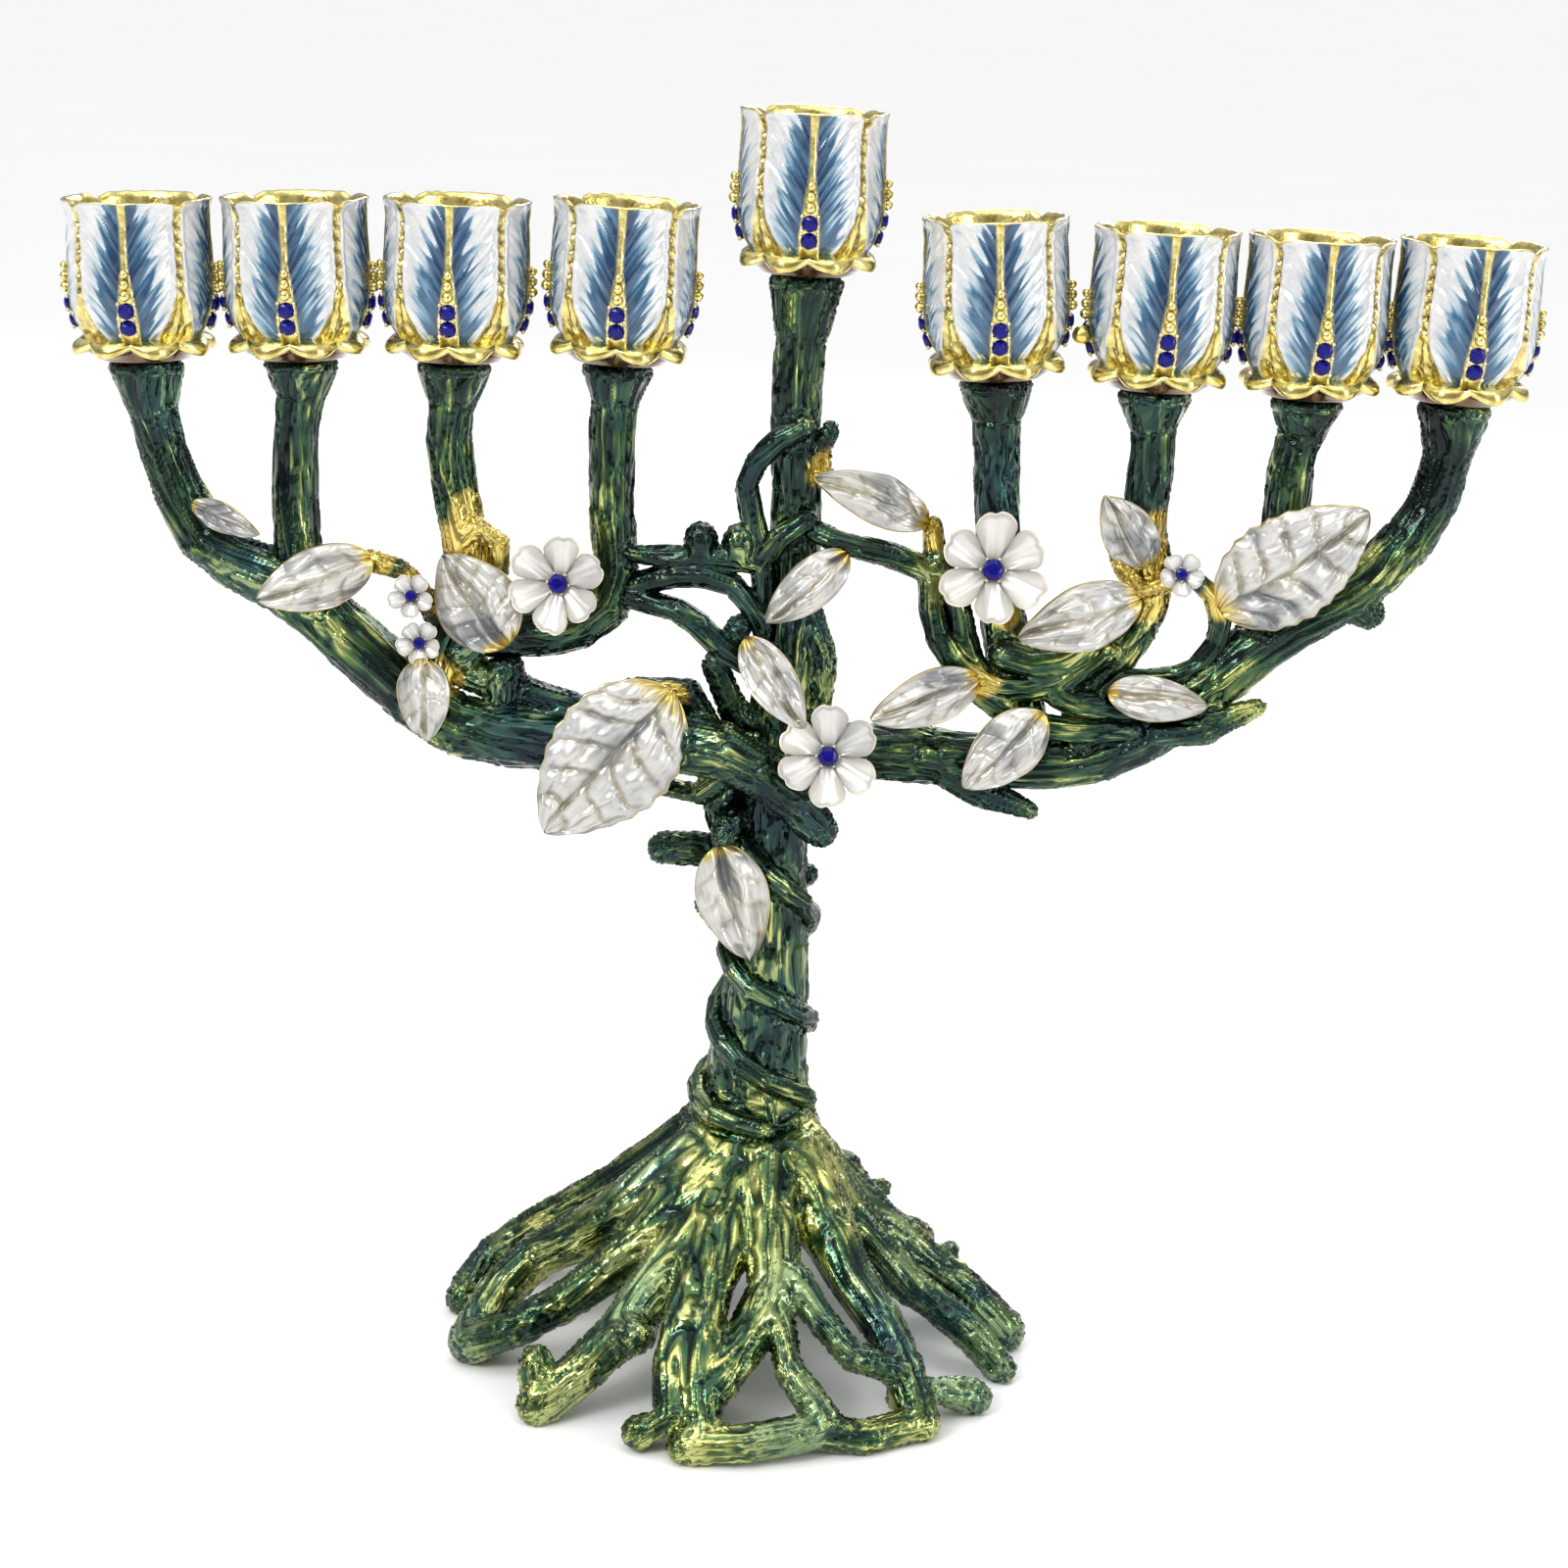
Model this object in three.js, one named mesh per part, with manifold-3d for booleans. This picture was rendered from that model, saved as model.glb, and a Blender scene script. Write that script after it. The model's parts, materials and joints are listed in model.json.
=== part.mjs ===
// Tree-of-life candelabrum in cast, enamelled and gold-plated metal, sizes in mm, +Z up.
// The tree stands on z = 0 and faces -Y. Nine petal cups, each with a candle socket, share one
// plane. A pewter tree like this is cast in pieces that are soldered together, so each casting is
// a solid of its own, and every seam keeps the clearance SEAM.
import * as THREE from 'three';
import { mergeVertices } from 'three/addons/utils/BufferGeometryUtils.js';
import Module from 'manifold-3d';

const wasm = await Module();
wasm.setup();

// ---------------------------------------------------------------- driving dimensions
const SEAM = 0.3;             // clearance between two castings that meet

const CANDLE_D = 9.5;         // candle the sockets are made for
const SOCKET_BORE_R = CANDLE_D / 2 + 0.45;
const SOCKET_WALL = 1.2;
const SOCKET_DEPTH = 10;      // bore depth
const SOCKET_FLOOR = 1.6;

const CUP_RIM_R = 12.2;
const CUP_WALL = 1.2;
const CUP_HEIGHT = 26.2;      // rim to the underside of the collar
const CUP_BOWL_DEPTH = 19.4;
const CUP_BELLY_R = 12.0;
const CUP_WAIST_R = 10.2;     // where the petals meet the collar
const COLLAR_R = 11.5;
const COLLAR_FOOT_R = 7.6;
const COLLAR_HEIGHT = 4.6;
const PETALS = 4;
const CUP_SEGMENTS = 16;

const ROW_RIM_Z = 203;        // rims of the eight cups in a row, before each one's rise
const CENTRE_RISE = 17.5;     // how much higher the ninth cup's rim is
const CENTRE_X = 1.5;         // the ninth cup's place along the row
const TRUNK_FOOT_Z = 42;      // seam between the trunk and the root base
const ROOT_WIDTH = 100.5;     // between the outermost root ends along the row
const ROOT_DEPTH = 102;       // between the frontmost and rearmost root ends
const CORD_R = 1.9;           // round vine that winds about the trunk
const LEAF_THICKNESS = 1.3;
const CRYSTAL_R = 1.6;
const BOSS_HEIGHT = 1.5;      // front of a flower's boss above its back
const PEG_R = 1;              // peg behind a flower

// Cup, left to right: clear gap to the cup before it, rise of its rim over the row's, lean to +X
// in degrees. Each cup stands where its own rim radius and its gap put it.
const CUP_ROW = [
  { gap: 0, rise: -0.5, lean: -1.5 },
  { gap: 2.1, rise: 0.5, lean: -1.5 },
  { gap: 3.1, rise: 1, lean: 1 },
  { gap: 4.1, rise: 1.5, lean: 2.5 },
  { gap: 6.6, rise: CENTRE_RISE, lean: 1 },
  { gap: 6.6, rise: 1, lean: -3 },
  { gap: 4.6, rise: 0, lean: 1 },
  { gap: 1.6, rise: -0.5, lean: 1 },
  { gap: 1.1, rise: -0.5, lean: 1.5 },
];
const CENTRE = 4;
const columnX = (i) => CUP_ROW.slice(1, i + 1)
  .reduce((x, { gap }) => x + 2 * CUP_RIM_R + gap, 0);
const CUPS = CUP_ROW.map(({ rise, lean }, i) => (
  [CENTRE_X + columnX(i) - columnX(CENTRE), ROW_RIM_Z + rise, lean]));

// The limbs' points below are drawn for these sizes; drawn() moves a point to the sizes above.
const DRAWN = { span: 225, cupFootZ: 176.8, trunkFootZ: 42, rootWidth: 100.5, rootDepth: 102 };
const UP = (ROW_RIM_Z - CUP_HEIGHT - TRUNK_FOOT_Z) / (DRAWN.cupFootZ - DRAWN.trunkFootZ);
const ACROSS = columnX(CUP_ROW.length - 1) / DRAWN.span;
const lift = (z) => (z > DRAWN.trunkFootZ
  ? TRUNK_FOOT_Z + (z - DRAWN.trunkFootZ) * UP : z * TRUNK_FOOT_Z / DRAWN.trunkFootZ);
const raised = ([x, y, z, ...radius]) => [x, y, lift(z), ...radius];
const drawn = ([x, y, z, ...radius]) => [
  CENTRE_X + (x - CENTRE_X) * ACROSS, y, lift(z), ...radius];
const drawnRoot = ([x, y, z, ...radius]) => [
  x * ROOT_WIDTH / DRAWN.rootWidth, y * ROOT_DEPTH / DRAWN.rootDepth, lift(z), ...radius];
const drawnLimbs = (list) => list.map((points) => points.map(drawn));

// ---------------------------------------------------------------- materials
const finish = (color, roughness, metalness) =>
  new THREE.MeshStandardMaterial({ color, roughness, metalness });
const BARK = finish(0x3c5a32, 0.25, 0.6);
const VINE = finish(0x4a6a3a, 0.25, 0.6);
const GOLD = finish(0xc9a53a, 0.25, 1);
const CUP_WHITE = finish(0xe6e4e0, 0.3, 0.1);
const PEARL = finish(0xded9cf, 0.3, 0.3);
const CRYSTAL = finish(0x0f0a96, 0.05, 0);

// ---------------------------------------------------------------- solids
function solid(geometry) {
  const bare = new THREE.BufferGeometry();
  bare.setAttribute('position', geometry.getAttribute('position'));
  bare.setIndex(geometry.getIndex());
  const merged = mergeVertices(bare, 1e-4);
  return new wasm.Manifold(new wasm.Mesh({
    numProp: 3,
    vertProperties: new Float32Array(merged.attributes.position.array),
    triVerts: new Uint32Array(merged.index.array),
  }));
}

const join = (solids) => solids.reduce((whole, next) => whole.add(next));

// A round-ended limb through [x, y, z, radius] points: a capsule bent along the curve.
function limb(points, grow = 0, sides = 8, spacing = 5) {
  const curve = new THREE.CatmullRomCurve3(
    points.map(([x, y, z]) => new THREE.Vector3(x, y, z)), false, 'centripetal');
  const rings = Math.max(2, Math.round(curve.getLength() / spacing));
  const frames = curve.computeFrenetFrames(rings, false);
  const geometry = new THREE.CapsuleGeometry(1, rings, 2, sides, rings);
  const position = geometry.getAttribute('position');
  const v = new THREE.Vector3();
  for (let i = 0; i < position.count; i++) {
    v.fromBufferAttribute(position, i);
    const along = THREE.MathUtils.clamp(v.y, -rings / 2, rings / 2);
    const ring = Math.round(along + rings / 2);
    const place = curve.getUtoTmapping(ring / rings) * (points.length - 1);
    const k = Math.min(Math.floor(place), points.length - 2);
    const radius = THREE.MathUtils.lerp(points[k][3], points[k + 1][3], place - k) + grow;
    const p = curve.getPointAt(ring / rings)
      .addScaledVector(frames.binormals[ring], v.x * radius)
      .addScaledVector(frames.tangents[ring], (v.y - along) * radius)
      .addScaledVector(frames.normals[ring], v.z * radius);
    position.setXYZ(i, p.x, p.y, p.z);
  }
  return solid(geometry);
}

const limbs = (list, grow, sides, spacing) =>
  join(list.map((points) => limb(points, grow, sides, spacing)));

// A slab bent into a leaf: pointed at both ends, arched towards the viewer, cupped across.
function leaf({ base, tip, width, arch = 1.5, cup = 1.2, roll = 0 }, grow = 0) {
  const start = new THREE.Vector3(...base);
  const end = new THREE.Vector3(...tip);
  const along = end.clone().sub(start).normalize();
  const face = new THREE.Vector3(0, -1, 0).addScaledVector(along, along.y).normalize()
    .applyAxisAngle(along, THREE.MathUtils.degToRad(roll));
  const side = face.clone().cross(along);
  const length = start.distanceTo(end) + 2 * grow;
  const geometry = new THREE.BoxGeometry(1, 1, 1, 5, 4, 1);
  const position = geometry.getAttribute('position');
  for (let i = 0; i < position.count; i++) {
    const u = position.getX(i) + 0.5;
    const v = position.getY(i) * 2;
    const half = (width / 2) * Math.max(0.16, Math.sin(Math.PI * u ** 0.85) ** 0.62) + grow;
    const thick = (LEAF_THICKNESS * (1 - 0.35 * Math.abs(v)) + 2 * grow) * position.getZ(i);
    const lift = arch * Math.sin(Math.PI * u) - cup * v * v * Math.sin(Math.PI * u);
    const p = start.clone()
      .addScaledVector(along, u * length - grow)
      .addScaledVector(side, v * half)
      .addScaledVector(face, lift + thick);
    position.setXYZ(i, p.x, p.y, p.z);
  }
  return solid(geometry);
}

// A solid of revolution about `axis` at `origin`, its radius swelled by lobe(angle, point index).
function turned(profile, segments, origin, axis, lobe = () => 1) {
  const geometry = new THREE.LatheGeometry(
    profile.map(([r, h]) => new THREE.Vector2(r, h)), segments);
  const position = geometry.getAttribute('position');
  for (let i = 0; i < position.count; i++) {
    const angle = Math.atan2(position.getX(i), position.getZ(i));
    const swell = lobe(angle, i % profile.length);
    position.setX(i, position.getX(i) * swell);
    position.setZ(i, position.getZ(i) * swell);
  }
  geometry.applyQuaternion(new THREE.Quaternion().setFromUnitVectors(
    new THREE.Vector3(0, 1, 0), axis.clone().normalize()));
  geometry.translate(...origin);
  return solid(geometry);
}

// A gold bead on a short stalk at the left of the seventh cup, in the cup's own frame.
const SPURRED_CUP = 6;
const SPUR_Z = -CUP_HEIGHT + COLLAR_HEIGHT + 3;
const CUP_SPUR = [
  [-CUP_WAIST_R - 0.2, 0, SPUR_Z, 0.9], [-CUP_BELLY_R + 0.3, -1.5, SPUR_Z + 0.4, 1],
  [-CUP_BELLY_R - 1.5, -2, SPUR_Z + 1.2, 1.5],
];

const cupAxis = (lean) => new THREE.Vector3(
  Math.sin(THREE.MathUtils.degToRad(lean)), 0, Math.cos(THREE.MathUtils.degToRad(lean)));

function cup([x, z, lean], grow = 0) {
  const top = grow;
  const foot = -CUP_HEIGHT - grow;
  const outer = [
    [0, foot],
    [COLLAR_FOOT_R + grow, foot],
    [COLLAR_R + grow, -CUP_HEIGHT + COLLAR_HEIGHT / 2],
    [CUP_WAIST_R + grow, -CUP_HEIGHT + COLLAR_HEIGHT],
    [CUP_BELLY_R + grow, -15],
    [CUP_BELLY_R - 0.4 + grow, -4],
    [CUP_RIM_R + grow, top],
  ];
  const bowl = [
    [CUP_RIM_R - CUP_WALL, 0],
    [CUP_BELLY_R - 1.2 - CUP_WALL, -13],
    [CUP_WAIST_R - CUP_WALL, -CUP_BOWL_DEPTH + 1],
    [0, -CUP_BOWL_DEPTH],
  ];
  const profile = grow ? [...outer, [0, top]] : [...outer, ...bowl];
  const lobe = (angle, k) => {
    if (k === 2) return 1 + 0.05 * Math.cos(2 * PETALS * angle);
    if (k > 3 && k < 7) return 0.985 + 0.03 * Math.abs(Math.cos(PETALS * angle / 2));
    return 1;
  };
  return turned(profile, CUP_SEGMENTS, [x, 0, z], cupAxis(lean), lobe);
}

function spur([x, z, lean], grow) {
  const turn = new THREE.Quaternion().setFromUnitVectors(new THREE.Vector3(0, 0, 1), cupAxis(lean));
  const rim = new THREE.Vector3(x, 0, z);
  return limb(CUP_SPUR.map(([u, v, w, r]) => (
    [...new THREE.Vector3(u, v, w).applyQuaternion(turn).add(rim), r])), grow, 6);
}

// The flared neck of a limb, which ends in the foot of cup i.
function neck(i) {
  const [x, z, lean] = CUPS[i];
  const rim = new THREE.Vector3(x, 0, z);
  return [[1.2, COLLAR_FOOT_R - 1.6], [4.6, (COLLAR_FOOT_R - 1.6) * 0.62]].map(([drop, radius]) => (
    [...rim.clone().addScaledVector(cupAxis(lean), -CUP_HEIGHT - drop), radius]));
}

function socket([x, z, lean]) {
  const r = SOCKET_BORE_R + SOCKET_WALL;
  const foot = -CUP_BOWL_DEPTH + SEAM + 0.8;
  const floor = foot + SOCKET_FLOOR;
  const lip = floor + SOCKET_DEPTH;
  const profile = [
    [0, foot], [r, foot], [r, lip - 0.5], [SOCKET_BORE_R, lip], [SOCKET_BORE_R, floor], [0, floor],
  ];
  return turned(profile, 16, [x, 0, z], cupAxis(lean));
}

// An open flower with a shallow dish of petals round a boss.
function flower({ centre, radius, petals, axis, peg }, grow = 0) {
  const h = radius * 0.36;
  const boss = 0.3 * radius;
  const profile = [
    [0, -grow], [boss + grow, -grow], [0.94 * radius + grow, h - 1 - grow],
    [radius + grow, h + grow], [0.55 * radius, 1.2 + 0.3 * h + grow], [boss, BOSS_HEIGHT + grow],
    [0, BOSS_HEIGHT + grow],
  ];
  const lobe = (angle, k) =>
    (k === 2 || k === 3 ? 0.72 + 0.28 * Math.abs(Math.cos(petals * angle / 2)) ** 0.6 : 1);
  const direction = new THREE.Vector3(...axis).normalize();
  const back = new THREE.Vector3(...centre).addScaledVector(direction, -peg);
  return turned(profile, petals * 4, centre, direction, lobe)
    .add(limb([[...centre, PEG_R], [...back, PEG_R]], grow, 6));
}

// A faceted stone in a low setting, on the boss of its flower.
function crystal({ centre, radius, axis }, grow = 0) {
  const r = CRYSTAL_R * (radius > 5 ? 1 : 0.65);
  const foot = BOSS_HEIGHT + SEAM + 0.1;
  const direction = new THREE.Vector3(...axis).normalize();
  const profile = [
    [0, foot - grow], [r + grow, foot - grow], [r + grow, foot + 0.5],
    [0.6 * r + grow, foot + 1.1 + grow], [0, foot + 1.1 + grow],
  ];
  return turned(profile, 8, centre, direction);
}

// ---------------------------------------------------------------- trunk and boughs
const TRUNK = [
  ...[[-4, 0, 38, 13], [-3.2, 0, 48, 9], [-2.5, 0, 60, 7.5], [-1.7, 0, 75, 6.4],
    [-2.2, 0, 90, 6.1], [-1.7, 0, 104, 6.1], [-0.6, 0, 122, 4.7], [0.8, 0, 133, 4.3],
    [0.6, 0, 150, 3.6], [0, 0, 168, 3.6], [0.2, 0, 180, 3.7]].map(raised),
  ...neck(CENTRE).reverse(),
];
const TRUNK_STRANDS = [
  [[-5, 0, 92.3, 2.5], [-12, -1, 92.4, 2.3], [-21, -2, 92.5, 2.6]],
  [[-8, -1, 114, 3.4], [-11.5, -2, 105, 3.3], [-9, -1, 95, 3]],
  [[-8, -3, 101, 2.4], [-10, -7, 98.5, 1.9], [-10.7, -9.6, 95.8, 1.4]],
  [[-8, -1, 89, 2], [-13, -2, 86, 1.8], [-12, -3, 79, 1.7], [-7.5, -2, 75.5, 1.7]],
  [[3, -1.3, 137, 1.9], [6, -1, 129, 2.1], [5.5, -1, 119, 2]],
  [[6, -2, 168.5, 1.3], [4.2, -2, 164.4, 1.4], [5, -2, 160.5, 1.3]],
  [[-8.5, -3.6, 134, 1.7], [-12.3, -3.6, 130.3, 1.9], [-12.2, -2.8, 124, 1.9],
    [-9.3, -2, 118.3, 2.2], [-4, -1, 112, 2.6]],
].map((points) => points.map(raised));

const LEFT_BOUGH = drawnLimbs([
  [[-110, 0, 166, 3.7], [-107.5, 0, 157, 3.8], [-101, -1, 145, 4.3],
    [-85.5, -3, 137, 5], [-70, -4, 124, 5.2], [-58, -5, 115, 5.1], [-34.5, -6, 112.7, 5],
    [-11.5, -9.5, 113.2, 4.6], [-1.7, -10.8, 108, 4.1], [6.5, -8.5, 99, 2.9]],
  [[-57, -3, 124.5, 2.9], [-48, -3, 121, 2.9], [-31.5, -4, 116, 2.8]],
  [[-50, -3, 117, 3], [-49, -4.5, 124.5, 3.2]],
  [[-34, -4, 117, 2.8], [-22, -3, 121.5, 3.2], [-15, -3, 119, 3], [-13, -5, 114, 2.8]],
  [[-17.5, -5, 112, 1.8], [-22.8, -4, 105, 1.7], [-17, -4, 102.4, 1.7], [-8, -7, 109.5, 1.8]],
]);
const RIGHT_BOUGH = drawnLimbs([
  [[112, 0, 167, 3.7], [109, 0, 156, 3.9], [99.5, -1, 145, 4.3],
    [84, -2, 135, 4.7], [71.5, -3, 124, 4.7], [56.5, -3, 113.2, 4.6], [38, -3, 111, 4.6],
    [20.5, -2, 111.5, 4.7], [7.5, 0, 111, 4.4]],
  [[96, -1, 142, 3.5], [100.6, -1, 139.2, 2.6]],
  [[28, -4, 109.5, 2.8], [34, -5, 106.3, 3], [43.5, -6, 102.8, 1.1]],
  [[64, -5, 118, 2.8], [73, -7, 119.5, 2.8], [82, -7.5, 123.5, 1]],
]);
LEFT_BOUGH[0].unshift(...neck(0));
RIGHT_BOUGH[0].unshift(...neck(CUPS.length - 1));

// The first limb of each stem hangs from its cup.
const STEMS = {
  stem_2: [[[-85.6, 0, 167, 3.5], [-85.9, 0, 158, 3.5], [-85.7, -1, 147, 3.7],
    [-84.8, -3, 137, 4]]],
  stem_3: [
    [[-59.5, 0, 168, 3.5], [-59.2, 0, 160, 3.5], [-57, -1, 149, 3.6], [-56.2, -2, 140, 3.6],
      [-59.7, -3, 130, 3.6], [-62, -4, 121.5, 3.6]],
    [[-73, -4, 143.5, 1.5], [-68, -4, 142.6, 1.5], [-63.2, -3, 137, 1.5], [-60.5, -3, 131, 1.6]],
    [[-57, -3, 146, 1.7], [-53.5, -3.5, 150.5, 1.8], [-50.5, -3.5, 147.5, 1.7],
      [-50.5, -4, 142, 1.5]],
  ],
  stem_4: [[[-31.4, 0, 167, 3.5], [-31.4, 0, 156, 3.6], [-30.8, 0, 146, 3.6],
    [-30.6, -1, 139, 3.9], [-35, -2, 133.5, 4], [-45, -3, 131.5, 4.1], [-55, -4, 131, 4.1],
    [-57.5, -4, 127.5, 3.8]]],
  stem_6: [[[34.6, 0, 166, 3.5], [35.5, 0, 152, 3.6], [36.6, 0, 140, 3.6], [39, -1, 128, 3.8],
    [43, -3, 113.5, 3.8]]],
  stem_7: [
    [[61.4, 0, 168, 3.5], [60.9, 0, 153, 3.6], [62.3, 0, 142, 3.8], [59.8, -1, 134.5, 3.8],
      [54.2, -2, 126.5, 3.8], [51.5, -3, 114, 3.8]],
    [[66.4, -5, 145, 1.3], [61.5, -5, 141.8, 1.6], [57.8, -5, 144.5, 1.6],
      [56, -4, 148.2, 1.2]],
  ],
  stem_8: [[[85.5, 0, 167, 3.5], [85, 0, 157, 3.7], [84.1, -1, 145, 3.7],
    [82.8, -2, 135, 3.8]]],
};
for (const [name, list] of Object.entries(STEMS)) {
  STEMS[name] = drawnLimbs(list);
  STEMS[name][0].unshift(...neck(Number(name.split('_')[1]) - 1));
}

// ---------------------------------------------------------------- vines
// Radius and x of the trunk at height z, between its points.
function trunkAt(z) {
  const k = Math.max(1, TRUNK.findIndex((p) => p[2] >= z));
  const t = (z - TRUNK[k - 1][2]) / (TRUNK[k][2] - TRUNK[k - 1][2]);
  return {
    x: THREE.MathUtils.lerp(TRUNK[k - 1][0], TRUNK[k][0], t),
    r: THREE.MathUtils.lerp(TRUNK[k - 1][3], TRUNK[k][3], t),
  };
}

// A cord that winds down the trunk. Angle 180 is its left side, 270 its front; turns are [angle, z].
function coil(turns) {
  const points = [];
  for (let i = 0; i < turns.length - 1; i++) {
    const [a0, z0] = [turns[i][0], lift(turns[i][1])];
    const [a1, z1] = [turns[i + 1][0], lift(turns[i + 1][1])];
    const steps = Math.ceil((a1 - a0) / 60);
    for (let j = i === 0 ? 0 : 1; j <= steps; j++) {
      const angle = THREE.MathUtils.degToRad(a0 + (a1 - a0) * j / steps);
      const z = z0 + (z1 - z0) * j / steps;
      const { x, r } = trunkAt(z);
      const reach = r + 0.6 * CORD_R;
      points.push([x + reach * Math.cos(angle), reach * Math.sin(angle), z, CORD_R]);
    }
  }
  return points;
}

const VINES = {
  trunk_cord_a: [coil([[170, 100], [360, 80], [540, 61], [690, 47]])],
  trunk_cord_b: [coil([[20, 87], [180, 74], [360, 60], [540, 46.5], [640, 43]])],
  upper_vine: drawnLimbs([
    [[1.5, -4, 169, 1.8], [-3.6, -4, 166, 1.8], [-8, -3, 159.5, 1.8], [-6.5, -3, 151, 1.9],
      [-5, -3, 145, 1.9], [-4.5, -3, 133, 1.9]],
    [[2.5, -4, 153, 1.8], [-1.7, -4, 150.2, 1.9], [-5, -3, 145, 1.9]],
    [[-29.5, -1, 139.3, 2], [-18, -4, 142.8, 2], [-9.2, -4.5, 141, 1.9], [-4.5, -3, 133, 1.9]],
    [[-28.5, -1.5, 145.8, 1.3], [-19.5, -3, 145.4, 2], [-12.5, -3.5, 145.9, 2.2], [-5.2, -3, 145, 1.9]],
    [[-15.6, -3.5, 146.3, 2.6], [-15.6, -3.5, 149, 2.9]],
    [[-9, -3.5, 146.3, 2.6], [-9, -3.5, 148.8, 3]],
    [[-28.5, -2, 138, 1.9], [-18, -5, 136, 1.9], [-11.8, -6, 130.6, 1.9], [-4, -5.2, 125.8, 1.9]],
  ]),
  right_vine: drawnLimbs([
    [[24, -3, 152.6, 1.6], [24.8, -2, 149.7, 1.9], [24, -4, 141, 2], [26.7, -5, 131.7, 2.2],
      [34.3, -6, 125.3, 2.2], [45.3, -6, 125.5, 2.2], [55, -4, 131, 2.2]],
    [[25, -3, 147, 1.8], [29, -3, 138, 2.4], [31, -3.5, 130, 2.4], [34.5, -5, 125.6, 2.2]],
    [[37.5, -4.5, 130.5, 2.8], [45, -5, 129, 3], [51.5, -4.5, 132.5, 2.6]],
    [[46, -6, 124.5, 2.2], [53, -5.5, 122, 2.6], [62, -6, 122.5, 2.2]],
    [[3.4, -3.6, 151.4, 1.8], [9.3, -5.6, 149.2, 1.8], [16.4, -5, 147.8, 2], [24.2, -3.4, 144.4, 2]],
    [[31.5, -5.5, 125, 2], [41, -7, 119.5, 2.2], [51, -7, 117.8, 2], [60.5, -6.5, 118.2, 1.8]],
  ]),
  ring_tendril: drawnLimbs([
    [[69.2, -5.4, 145.4, 1.3], [73.4, -4.4, 141.5, 1.7], [74.6, -4, 135.4, 1.9],
      [70.6, -4, 128.7, 1.9], [64, -4, 126.6, 1.9], [58, -4, 126.5, 1.9], [54.5, -6, 123.6, 1.7]],
  ]),
};

// ---------------------------------------------------------------- leaves and flowers
const LEAVES = {
  leaf_left_1: { base: [-103, -4.5, 152.5], tip: [-91, -8, 148], width: 5, arch: 1 },
  leaf_left_2: { base: [-72, -5.5, 144], tip: [-91.5, -8.5, 137], width: 11, arch: 2 },
  leaf_left_3: { base: [-59.3, -5.5, 145.5], tip: [-49, -9, 129.8], width: 14.5, arch: 2 },
  leaf_left_4: { base: [-63, -10.5, 128], tip: [-62, -11.5, 113.5], width: 9.4 },
  leaf_left_5: { base: [-20, -11, 124], tip: [-41.5, -12.5, 98.3], width: 21.5, arch: 2.5 },
  leaf_left_6: { base: [-7.5, -9, 133], tip: [3.2, -15.6, 119], width: 8.6 },
  leaf_left_7: { base: [-11, -9.8, 95.9], tip: [-5, -11, 75.3], width: 13 },
  leaf_right_1: { base: [23.5, -3, 153], tip: [3.4, -7, 161], width: 8.8, arch: 3, roll: 25 },
  leaf_right_2: { base: [9.6, -6.6, 148], tip: [-4, -9.5, 136], width: 8.6 },
  leaf_right_3: { base: [61.4, -5, 147], tip: [53, -7, 159.5], width: 9.4, cup: 1.6 },
  leaf_right_4: { base: [60.2, -5.4, 141.6], tip: [39.3, -10, 134.8], width: 11.6, arch: 2 },
  leaf_right_5: { base: [74, -6.5, 139.8], tip: [97.5, -9.5, 158.8], width: 18.4, arch: 2.5 },
  leaf_right_6: { base: [33, -8.2, 127], tip: [14.5, -12, 120], width: 9.6 },
  leaf_right_7: { base: [44.6, -9.5, 121.5], tip: [31, -12, 108.5], width: 11.2 },
  leaf_right_8: { base: [55.6, -7.2, 125], tip: [72.5, -11, 124], width: 8, roll: -20, cup: 2 },
};

// A flower stands free, or keeps its offset from the end of the leaf it is soldered to. Its peg runs
// back into the limb behind it.
const FACING = [0, -0.96, 0.26];
const FLOWERS = {
  flower_1: { leaf: 'leaf_left_3', end: 'tip', offset: [9.3, 2.5, 11.2], radius: 8.6, petals: 6,
    axis: [-0.1, -0.97, 0.2], peg: 5 },
  flower_2: { centre: [34.5, -6.5, 145.8], radius: 9.7, petals: 6, axis: FACING, peg: 5 },
  flower_3: { leaf: 'leaf_left_6', end: 'tip', offset: [4.2, 2.6, -5.4], radius: 9, petals: 6,
    axis: FACING, peg: 11 },
  flower_4: { leaf: 'leaf_left_3', end: 'base', offset: [-5.7, -1.5, -7.5], radius: 3.9, petals: 5,
    axis: FACING, peg: 4 },
  flower_5: { centre: [-63.5, -8, 130], radius: 3.9, petals: 5, axis: FACING, peg: 5 },
  flower_6: { centre: [66.8, -6, 146], radius: 3.9, petals: 5, axis: FACING, peg: 2 },
};

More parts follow.
